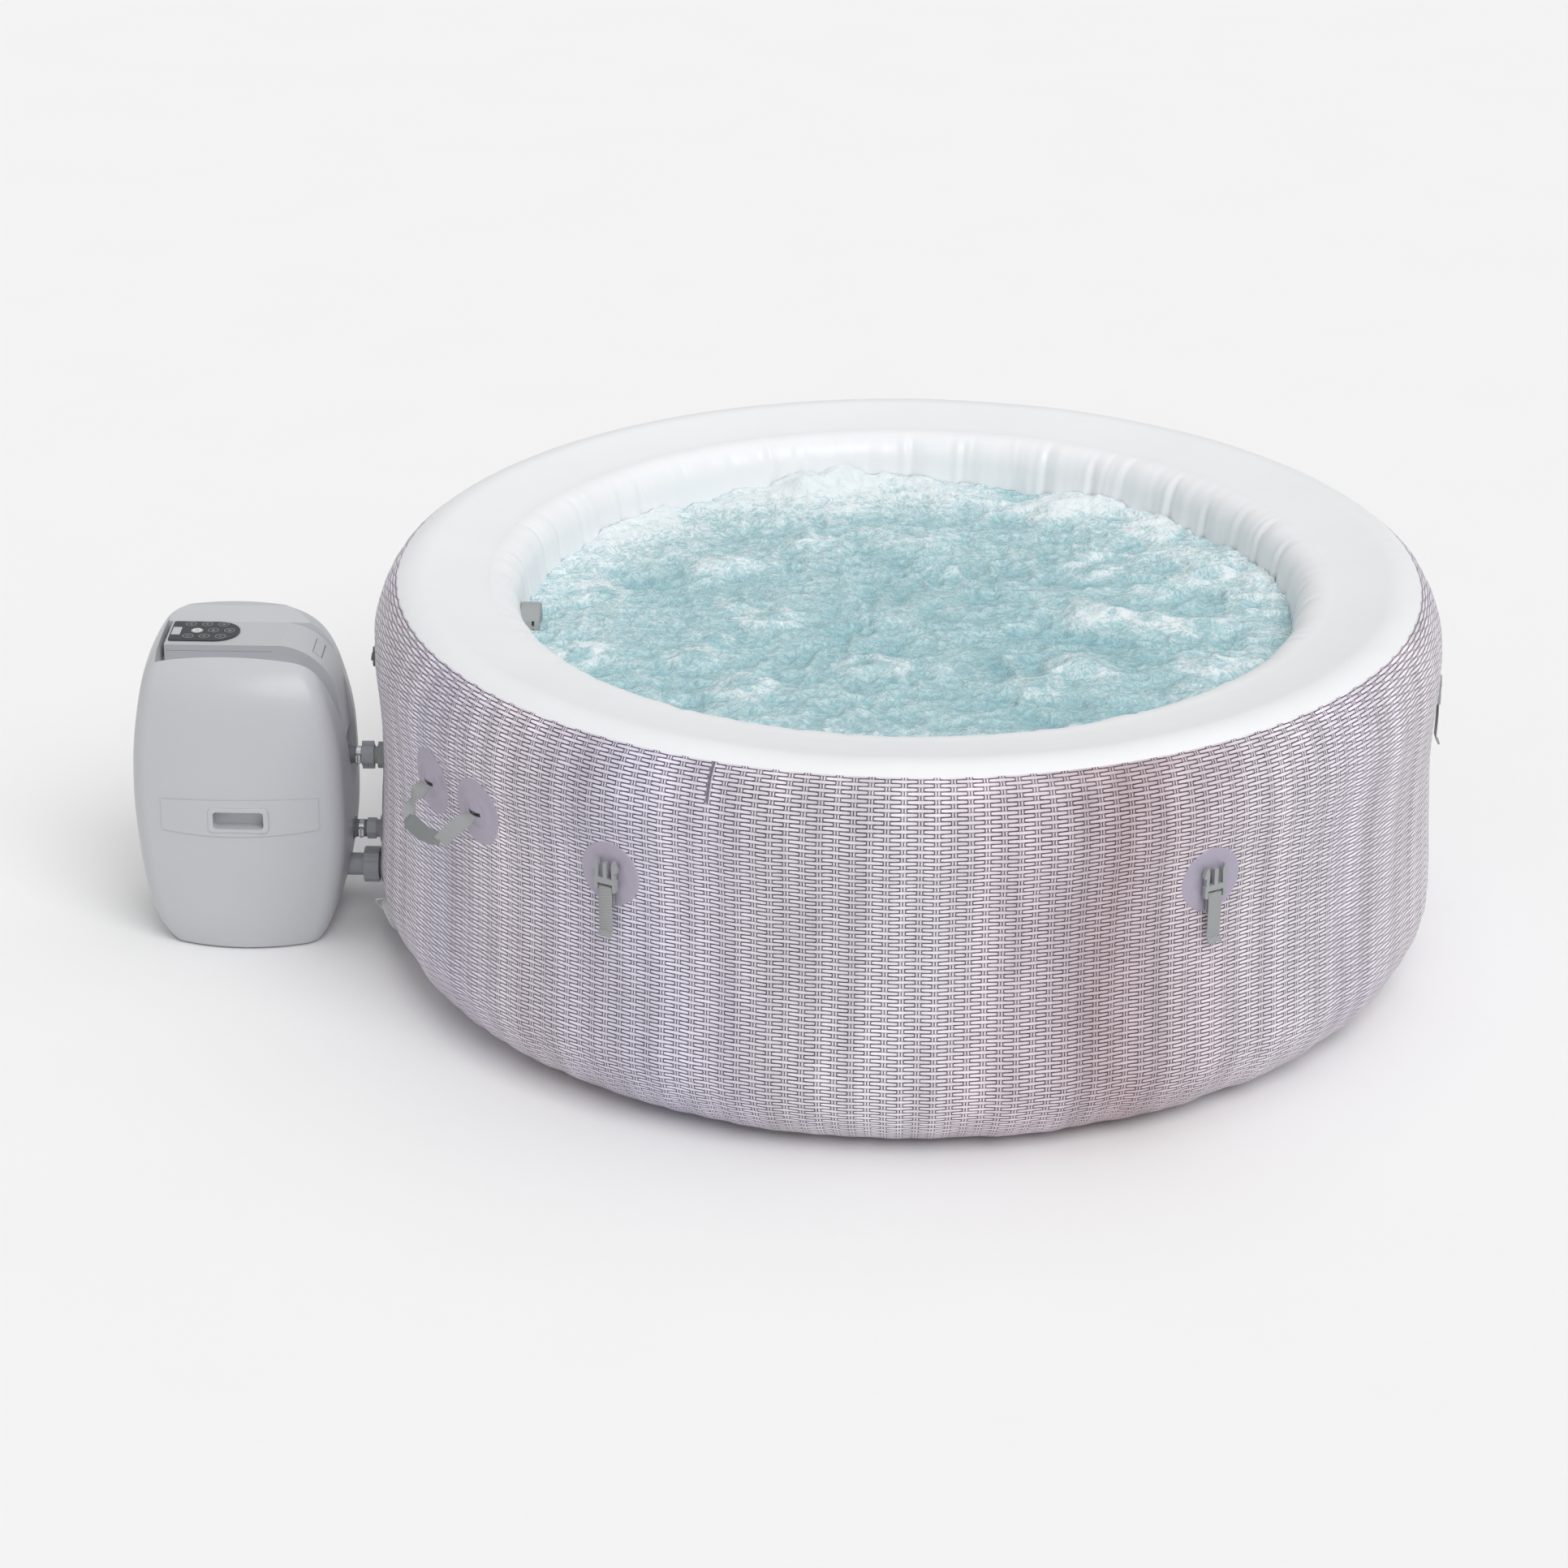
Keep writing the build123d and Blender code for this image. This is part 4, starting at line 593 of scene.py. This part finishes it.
def creases(azimuth, s):
    """Folds and fine wrinkles of the bath's wall, hanging from the ring's inner bend."""
    x, y = np.sin(azimuth), -np.cos(azimuth)
    right = 1 + 0.45 * smooth(0.1, 0.9, x)
    down = s - INNER_SEAM
    out = 0.0 * azimuth + 0.0 * s
    waver = 0.012 * noise3(x * 9, y * 9, s * 6, 6)
    for spot, depth, lean, late, length in FOLDS:
        gap = (azimuth - spot - lean * down + waver + math.pi) % TAU - math.pi
        along = smooth(late, late + 0.05, down) * (1 - 0.6 * smooth(length, length + 0.25, down))
        valley = np.exp(-np.abs(gap) / 0.010) - 0.5 * np.exp(-((gap - 0.018) / 0.011) ** 2)
        out = out - 0.0062 * depth * along * valley + 0.0022 * along * np.exp(-((gap + 0.05) / 0.03) ** 2)
    for spot, depth, lean, late, length in WRINKLES:
        gap = (azimuth - spot - lean * down + 0.5 * waver + math.pi) % TAU - math.pi
        along = smooth(late, late + 0.03, down) * (1 - smooth(late + length, late + length + 0.06, down))
        valley = np.exp(-np.abs(gap) / 0.005) - 0.5 * np.exp(-((gap - 0.010) / 0.006) ** 2)
        out = out - 0.0016 * depth * along * valley
    start = smooth(-0.014, 0.04, down)
    out = (out * right * 0.8 + 0.0036) * start + 0.0009 * noise3(x * 52, y * 52, s * 3.0, 9) * start
    out = np.maximum(out, INNER_LEAST)
    return out * (1 - 0.6 * smooth(RUN[-1] - 0.35, RUN[-1] - 0.1, s)) * smooth(RUN[-1], RUN[-1] - 0.04, s)


def swell(azimuth, s):
    """How far the inflated skin stands out from the plain outline, in metres."""
    height = on_line(s)[1]
    x, y = np.sin(azimuth), -np.cos(azimuth)
    # upright panels of the outer wall between the welded webs
    turn = azimuth / WEB_ANGLE - 0.5
    web = np.round(turn).astype(int) % WEBS
    t = turn - np.round(turn) + 0.0 * s
    crease = np.exp(-(t / 0.085) ** 2) * WEB_DEPTH[web]
    outer = 0.0018 * (1 - np.cos(TAU * t)) / 2 - 0.0020 * crease
    outer = outer + 0.0007 * np.cos(azimuth * 87 + 2.5 * noise3(x * 6, y * 6, height, 8))
    outer = outer + 0.0018 * noise3(x * 15, y * 15, height * 1.4, 3)
    outer = outer + 0.0007 * noise3(x * 34, y * 34, height * 4, 4)
    outer = np.maximum(outer, OUTER_LEAST) * smooth(0.0, 0.12, s) * (1 - smooth(OUTER_SEAM - 0.05, OUTER_SEAM, s))
    for spot_azimuth, spot_height, reach in CALM:
        gap = (azimuth - math.radians(spot_azimuth) + math.pi) % TAU - math.pi
        away = np.hypot(gap * 0.9, height - spot_height)
        outer = outer * smooth(reach + 0.004, reach + 0.035, away)
    # small puckers at the print's weld
    pucker = 0.00045 * noise3(x * 46, y * 46, 0, 5) * np.exp(-((s - OUTER_SEAM) / 0.02) ** 2)
    inner = 0.0
    if np.max(s) > INNER_SEAM - 0.05:
        inner = creases(azimuth, s)
    ring = 0.0012 * noise3(x * 6, y * 6, s * 5, 12) * smooth(OUTER_SEAM, OUTER_SEAM + 0.03, s)
    return outer + pucker + inner + ring


COLS = 1000 if FULL else 700
LIP = 0.0003


def skin(name, start, end, rows, slot, replaces):
    """A welded skin of the wall as a thin closed shell, its seen face fine and its back face coarse."""
    back = max(5, rows // 10)
    s_front = np.concatenate([[start], np.linspace(start + LIP, end - LIP, rows - 2), [end]])
    s_back = np.concatenate([[end - LIP], np.linspace(end - 0.01, start + 0.01, back - 2), [start + LIP]])
    s_all = np.concatenate([s_front, s_back])[:, None]
    inset = np.concatenate([np.zeros(rows), np.full(back, SKIN)])[:, None]
    azimuth = (np.arange(COLS) / COLS * TAU)[None, :]
    radius, height, nr, nz = on_line(s_all)
    out = swell(azimuth, s_all) - inset
    z = np.maximum(height + nz * out, 0.0)
    pts = ring_spot(azimuth, radius + nr * out, z)
    uv = np.zeros((rows + back + 1, COLS + 1, 2))
    uv[:, :, 0] = np.linspace(-PERIODS_AROUND / 2, PERIODS_AROUND / 2, COLS + 1)[None, :]
    uv[:, :, 1] = np.append(s_all[:, 0], start)[:, None] / ROW_PITCH
    obj = grid_mesh(name, pts, wrap_rows=True, wrap_cols=True, uv=uv)
    obj.data.flip_normals()
    obj.data.materials.append(M[slot])
    return link(obj, "tub", replaces)


skin("woven_wall_skin", 0, OUTER_SEAM, 88 if FULL else 60, "printed_pvc", ["outer_wall"])
skin("ring_skin", OUTER_SEAM, INNER_SEAM, 40, "white_pvc", ["top_ring"])
skin("bath_wall_skin", INNER_SEAM, RUN[-1], 84 if FULL else 60, "white_pvc", ["inner_wall"])


# ---------------------------------------------------------------- water
WATER_LEVEL = 0.563
WATER_RADIUS = 0.652
WATER_FOOT = 0.05
WATER_FOOT_RADIUS = 0.560


def water():
    """Closed body of water with a choppy top, its foam written as an attribute."""
    n = 300 if FULL else 200
    a, b = np.meshgrid(np.linspace(-1, 1, n), np.linspace(-1, 1, n), indexing="ij")
    angle = np.where(np.abs(a) >= np.abs(b), np.pi / 4 * b / np.where(a == 0, 1, a),
                     np.pi / 2 - np.pi / 4 * a / np.where(b == 0, 1, b))
    signed = np.where(np.abs(a) >= np.abs(b), a, b)
    x, y = signed * np.cos(angle) * WATER_RADIUS, signed * np.sin(angle) * WATER_RADIUS
    r = np.hypot(x, y) / WATER_RADIUS
    warp_x = x + 0.03 * noise3(x * 7, y * 7, 1, 21)
    warp_y = y + 0.03 * noise3(x * 7, y * 7, 2, 22)
    broad = noise3(warp_x * 8, warp_y * 8, 0, 23)
    chop = 1 - np.abs(noise3(warp_x * 15, warp_y * 19, 0, 24)) * 2
    small = 1 - np.abs(noise3(warp_x * 33, warp_y * 41, 0, 25)) * 2
    tiny = noise3(x * 80, y * 95, 0, 26)
    z = 0.006 * broad + 0.0045 * chop + 0.0038 * small + 0.0018 * tiny
    foam = 0.42 + 0.10 * chop + 0.09 * small + 0.08 * broad
    # bubbles rise from the ring duct and pile up round the edge, most at the back
    back = smooth(-0.2, 0.9, y / WATER_RADIUS)
    boil = 0.5 + 0.5 * noise3(x * 11, y * 11, 4, 27)
    edge = smooth(0.70, 0.95, r) * (0.35 + 0.65 * back)
    z = z + edge * (0.006 + 0.022 * boil ** 2)
    foam = foam + edge * (0.10 + 0.40 * boil) + 0.10 * back
    # a few strong domes where the air breaks the surface
    for _ in range(34):
        spot_r, spot_a = WATER_RADIUS * math.sqrt(RNG.uniform(0.05, 0.93)), RNG.uniform(0, TAU)
        size, lift = RNG.uniform(0.022, 0.05), RNG.uniform(0.006, 0.016)
        away = np.hypot(x - spot_r * math.cos(spot_a), (y - spot_r * math.sin(spot_a)) * 1.15)
        away = away * (1 + 0.18 * noise3(x * 30, y * 30, 7, 28))
        z = z + lift * np.exp(-(away / size) ** 2)
        foam = foam + 0.22 * np.exp(-((away - size * 0.9) / (size * 0.45)) ** 2)
    z = WATER_LEVEL + z - 0.014 * smooth(-0.3, -0.95, x / WATER_RADIUS) * smooth(0.5, 1, r)
    top = np.stack([x, y, z], axis=-1).reshape(-1, 3)
    index = np.arange(n * n).reshape(n, n)
    quads = np.stack([index[:-1, :-1], index[1:, :-1], index[1:, 1:], index[:-1, 1:]], axis=-1).reshape(-1, 4)
    rim = np.concatenate([index[:-1, 0], index[-1, :-1], index[:0:-1, -1], index[0, :0:-1]])
    bottom = top[rim].copy()
    bottom[:, :2] *= WATER_FOOT_RADIUS / WATER_RADIUS
    bottom[:, 2] = WATER_FOOT
    low_index = n * n + np.arange(len(rim))
    walls = np.stack([rim, low_index, np.roll(low_index, -1), np.roll(rim, -1)], axis=1)
    mesh = bpy.data.meshes.new("bath_water")
    mesh.from_pydata(np.concatenate([top, bottom]).tolist(), [],
                     quads.tolist() + walls.tolist() + [low_index[::-1].tolist()])
    layer = mesh.attributes.new("foam", "FLOAT", "POINT")
    layer.data.foreach_set("value", np.concatenate([np.clip(foam, 0, 1.2).ravel(), np.full(len(rim), 0.3)]))
    mesh.polygons.foreach_set("use_smooth", [True] * len(mesh.polygons))
    mesh.update()
    obj = bpy.data.objects.new("bath_water", mesh)
    mesh.materials.append(foam_water())
    return link(obj, "tub")


water()


# ---------------------------------------------------------------- round patches
def wall_point(azimuth, height, lift):
    """Points on the outer face of the wall, lifted along its normal."""
    s = run_at_height(height)
    radius, z, nr, nz = on_line(s)
    out = swell(azimuth, s) + lift
    return ring_spot(azimuth, radius + nr * out, z + nz * out)


def patch(name, azimuth_deg, centre_z, radius, slot):
    """Welded round patch: rounded rim, softly raised middle and, for a strap, a hooded slot whose opening is
    painted shadow.
    """
    rings, around = 30, 96
    rho = np.concatenate([np.linspace(0.02, 0.93, rings), [0.955, 0.975, 0.99, 1.0, 1.0]])
    lift = np.full(len(rho), 0.0018)
    lift[-5:] = (0.00178, 0.0016, 0.0012, 0.0006, -0.0012)
    theta = np.linspace(0, TAU, around, endpoint=False)
    dx = rho[:, None] * np.cos(theta)[None, :] * radius
    dz = rho[:, None] * np.sin(theta)[None, :] * radius
    inner = 1 - smooth(0.75, 0.95, rho)[:, None]
    raise_by = lift[:, None] + 0.0 * dx
    if slot:
        dome = np.exp(-((dx / 0.021) ** 2 + ((dz - 0.003) / 0.016) ** 2))
        ridge = np.exp(-((np.hypot(dx / 1.1, dz + 0.002) - 0.027) / 0.005) ** 2)
        raise_by = raise_by + inner * (0.0078 * dome + 0.0014 * ridge)
    else:
        ripples = np.cos((dx * 0.8 + dz * 0.5) * 240) * np.exp(-((np.hypot(dx, dz) - 0.034) / 0.01) ** 2)
        dome = np.exp(-((dx / 0.022) ** 2 + ((dz + 0.012) / 0.026) ** 2))
        raise_by = raise_by + inner * (0.0011 * dome + 0.00022 * ripples)
    wobble = 1 + 0.012 * noise3(np.cos(theta) * 2 + azimuth_deg, np.sin(theta) * 2, 0, 31)[None, :]
    pts = wall_point(math.radians(azimuth_deg) + dx * wobble / 0.9, centre_z + dz * wobble, raise_by)
    obj = grid_mesh(name, pts, wrap_cols=True, capped=("start",))
    mesh = obj.data
    mesh.materials.append(M["patch_pvc"])
    if slot:
        # the slot's opening is painted shadow: dark faces on the dome, not a hole
        mesh.materials.append(M["dark_hole"])
        for face in mesh.polygons:
            if len(face.vertices) > 4:
                continue
            row, column = divmod(face.index, around)
            if abs(dx[row, column]) < 0.0135 and abs(dz[row, column] + 0.001) < 0.0034:
                face.material_index = 1
    return obj


for number, azimuth in enumerate(BUCKLE_AZIMUTHS, 1):
    disc = patch(f"buckle_patch_{number}", azimuth, *BUCKLE_PATCH, False)
    link(disc, "tub", ["wall_patches"])

FACE = WALL_FACE + 0.0003
STRAP = 0.0016
STRAP_WIDTH = 0.0245
BAR_Z = 0.424
BAR_OUT = STRAP + 0.002 + 0.0003


def buckle_strap(number, azimuth):
    """Webbing from its weld up and over the buckle's bar, hanging in front with a folded hem."""
    around, _, out = wall_axes(azimuth)
    mid = STRAP / 2
    front = 2 * BAR_OUT - mid
    line = [(mid, z) for z in np.linspace(0.392, BAR_Z, 8)]
    centre = (mid + front) / 2
    line += [(centre - (front - mid) / 2 * math.cos(t), BAR_Z + (front - mid) / 2 * math.sin(t))
             for t in np.linspace(0.15, math.pi - 0.15, 12)]
    line += [(front + 0.0006 * math.sin((BAR_Z - z) * 60), z) for z in np.linspace(BAR_Z, 0.354, 20)[1:]]
    line += [(front + 0.0005 + 0.004 * t ** 2, 0.354 - 0.009 * t) for t in np.linspace(0.2, 1, 6)]
    # the hem is folded back under itself
    line += [(front + 0.0045 + 0.0011 * math.sin(t) - 0.0012, 0.345 - 0.0012 * math.sin(t) - 0.0002)
             for t in np.linspace(0.8, 1.6, 2)]
    base = out * FACE
    path = [base + out * o + Vector((0, 0, z)) for o, z in line]
    ups = []
    for k in range(len(path)):
        way = path[min(k + 1, len(path) - 1)] - path[max(k - 1, 0)]
        ups.append(around.cross(way).normalized())
    obj = ribbon(f"buckle_webbing_{number}", path, [around] * len(path), ups, STRAP_WIDTH, STRAP)
    obj.data.materials.append(M["webbing"])
    link(obj, "tub", ["buckle_straps"])
    hem = []
    for t in np.linspace(0, 1, 7):
        stand = front + 0.0017 + 0.0044 * t ** 2 + 0.0004
        hem.append(base + out * stand + Vector((0, 0, 0.3525 - 0.0085 * t)))
    ways = [around.cross(hem[min(k + 1, 6)] - hem[max(k - 1, 0)]).normalized() for k in range(7)]
    fold = ribbon(f"buckle_hem_{number}", hem, [around] * 7, ways, STRAP_WIDTH, STRAP * 0.9)
    fold.data.materials.append(M["webbing"])
    link(fold, "tub", ["buckle_straps"])


for number, azimuth in enumerate(BUCKLE_AZIMUTHS, 1):
    buckle_strap(number, azimuth)


# ---------------------------------------------------------------- carry handles
HANDLE_Z = 0.462
DROOP = math.radians(42)
LEG = 0.068
GRIP_HALF = 0.0455


def carry_handle(number, azimuth):
    """Two hooded patches, and a webbing loop through a soft sleeve that rides on the handle's body."""
    body = f"carry_handle_{number}"
    around, up, out = wall_axes(azimuth)
    origin = out * (WALL_FACE + 0.0015) + Vector((0, 0, HANDLE_Z))
    loop = out * math.cos(DROOP) - up * math.sin(DROOP)
    face = loop.cross(around) * -1
    if face.z < 0:
        face = -face
    span = WALL_FACE * math.radians(HANDLE_HALF_ANGLE)
    for side in (-1, 1):
        end = "left" if side < 0 else "right"
        disc = patch(f"handle_patch_{number}_{end}", azimuth + side * HANDLE_HALF_ANGLE, *HANDLE_PATCH, True)
        link(disc, "tub", ["wall_patches"])
        path, sides, ups, widths = [], [], [], []
        for t in np.linspace(0, 1, 22):
            x = side * (span - (span - GRIP_HALF - 0.006) * t ** 1.6)
            z = 0.003 + (LEG - 0.003) * t
            lift = 0.004 * math.sin(math.pi * t) - 0.001 * t
            path.append(origin + around * x + loop * z + face * lift)
            twist = 0.85 * smooth(0.0, 0.3, t)
            if side < 0:
                twist -= 1.1 * math.exp(-((t - 0.52) / 0.2) ** 2)
            sides.append((around * math.cos(twist) - face * math.sin(twist)).normalized())
            ups.append((face * math.cos(twist) + around * math.sin(twist)).normalized())
            widths.append(0.0265 - 0.002 * t)
        leg = ribbon(f"handle_webbing_{number}_{end}", path, sides, ups, widths, STRAP)
        leg.data.materials.append(M["webbing"])
        link(leg, body, [f"carry_strap_{number}"])
    # webbing turned along the sleeve, and the sleeve with its pinched ends
    rows, cols = 44, 28
    pts = np.zeros((rows, cols, 3))
    for k, t in enumerate(np.linspace(-1, 1, rows)):
        pinch = 1 - 0.62 * smooth(0.72, 1.0, abs(t)) ** 1.4
        mid = origin + around * (t * (GRIP_HALF + 0.007)) + loop * (LEG - 0.002 + 0.004 * (1 - t * t))
        mid = mid + face * (0.0015 * math.sin(3 * t))
        for c in range(cols):
            angle = TAU * c / cols
            high = math.sin(angle)
            wide = 0.0125 * math.cos(angle)
            thick = 0.0045 * (abs(high) ** 0.8) * (1 if high > 0 else -1)
            dent = 0.0008 * noise3(t * 3, angle, number, 41) + 0.0007 * math.cos(angle * 2 + t * 2)
            pts[k, c] = mid + loop * (wide * (0.45 + 0.55 * pinch) + dent) + face * (thick * pinch + dent)
    sleeve = grid_mesh(f"handle_sleeve_{number}", pts, wrap_cols=True, capped=("start", "end"))
    sleeve.data.materials.append(M["sleeve"])
    link(sleeve, body, [f"carry_grip_{number}", f"carry_strap_{number}"])


M["sleeve"] = plastic("handle_sleeve_vinyl", rgb(136, 139, 139), 0.5, 500, 0.0002, 0.08)
for number, azimuth in enumerate(HANDLE_AZIMUTHS, 1):
    carry_handle(number, azimuth)


# ---------------------------------------------------------------- marks on the control panel
KEY_ROWS = ((0.047, -1.228), (0.020, -1.214), (-0.0065, -1.226))
KEY_PITCH = 0.028
KEY_TOP = 0.5158
FILM_TOP = 0.5154
INK = 0.00015


def arc_band(inside, outside, start, end, steps=20):
    """Outline of a curved bar, in millimetres, between two angles in degrees."""
    angles = np.radians(np.linspace(start, end, steps))
    outer = [(outside * math.cos(a), outside * math.sin(a)) for a in angles]
    return outer + [(inside * math.cos(a), inside * math.sin(a)) for a in angles[::-1]]


def bar(x, y, width, height):
    return [(x - width / 2, y - height / 2), (x + width / 2, y - height / 2),
            (x + width / 2, y + height / 2), (x - width / 2, y + height / 2)]


def dot(x, y, radius):
    angles = np.linspace(0, TAU, 14, endpoint=False)
    return [(x + radius * math.cos(a), y + radius * math.sin(a)) for a in angles]


def flat_mark(name, shapes, centre, top, body, material):
    """Thin printed mark built of closed outlines, riding on a body."""
    verts, faces = [], []
    for shape in shapes:
        n, first = len(shape), len(verts)
        for lift in (-INK, INK):
            verts += [(centre[0] + px / 1000, centre[1] + py / 1000, top + lift) for px, py in shape]
        faces.append(tuple(range(first + n - 1, first - 1, -1)))
        faces.append(tuple(range(first + n, first + 2 * n)))
        faces += [(first + k, first + (k + 1) % n, first + n + (k + 1) % n, first + n + k) for k in range(n)]
    mesh = bpy.data.meshes.new(name)
    mesh.from_pydata(verts, [], faces)
    mesh.update()
    mesh.materials.append(M[material])
    link(bpy.data.objects.new(name, mesh), body)


SYMBOLS = (
    [[(-2.4, -1.6), (2.4, -1.6), (0, 2.2)]],
    [[(-2.4, 1.6), (0, -2.2), (2.4, 1.6)]],
    [arc_band(2.4, 3.0, 0, 180), arc_band(2.4, 3.0, 180, 360), bar(0, 0.9, 0.6, 1.9), bar(0.7, 0, 1.5, 0.6)],
    [arc_band(2.5, 3.2, 125, 415), bar(0, 2.4, 0.7, 2.6)],
    [bar(0, -1.0, 4.2, 3.2), arc_band(1.1, 1.7, 0, 180)],
    [dot(-1.6, -1.1, 1.2), dot(1.4, -0.5, 1.5), dot(-0.3, 1.9, 1.0)],
    [bar(-1.8, 0, 0.7, 4.2), bar(0, 0, 0.7, 4.2), bar(1.8, 0, 0.7, 4.2)],
    [bar(0, 1.4, 4.4, 0.7), bar(0, 0, 4.4, 0.7), bar(0, -1.4, 4.4, 0.7)],
    [bar(0, 0, 0.7, 4.6), bar(0, 0, 4.6, 0.7)],
)
key = 0
for row_y, first_x in KEY_ROWS:
    for column in range(3):
        key += 1
        centre = (first_x + KEY_PITCH * column, row_y)
        halves = [arc_band(8.6, 9.3, 0, 180, 30), arc_band(8.6, 9.3, 180, 360, 30)]
        flat_mark(f"key_mark_{key}", halves + SYMBOLS[key - 1], centre, KEY_TOP, f"button_{key}",
                  "key_dark" if key == 4 else "key_line")
window = [bar(0, 0, 15, 33)]
flat_mark("display_window", window, (-1.2485, 0.0165), FILM_TOP, "pump_unit", "lcd")


# ---------------------------------------------------------------- floor and light
floor_mesh = bpy.data.meshes.new("studio_floor")
floor_mesh.from_pydata([(-30, -30, 0), (30, -30, 0), (30, 30, 0), (-30, 30, 0)], [], [(0, 1, 2, 3)])
floor = bpy.data.objects.new("studio_floor", floor_mesh)
bpy.context.scene.collection.objects.link(floor)
paper = Graph("studio_paper", (0.93, 0.93, 0.93), 0.9, 0.1)
paper.colour(paper.mix(paper.noise(3, 2), (0.955, 0.955, 0.955), (0.97, 0.97, 0.97)))
floor_mesh.materials.append(paper.mat)

world = bpy.data.worlds.new("studio")
bpy.context.scene.world = world
world.use_nodes = True
world.node_tree.nodes["Background"].inputs["Color"].default_value = (1.0, 1.0, 1.0, 1)
world.node_tree.nodes["Background"].inputs["Strength"].default_value = 0.47


def soft_sun(name, spot, strength, spread):
    """Distant soft light from the direction of a point, even over the whole floor."""
    lamp = bpy.data.lights.new(name, "SUN")
    lamp.energy = strength
    lamp.angle = math.radians(spread)
    obj = bpy.data.objects.new(name, lamp)
    obj.rotation_euler = Vector(spot).to_track_quat("Z", "Y").to_euler()
    bpy.context.scene.collection.objects.link(obj)


soft_sun("key_light", (1.5, -2.7, 3.4), 1.36, 38)
soft_sun("top_light", (0.6, 0.5, 3.2), 0.48, 60)
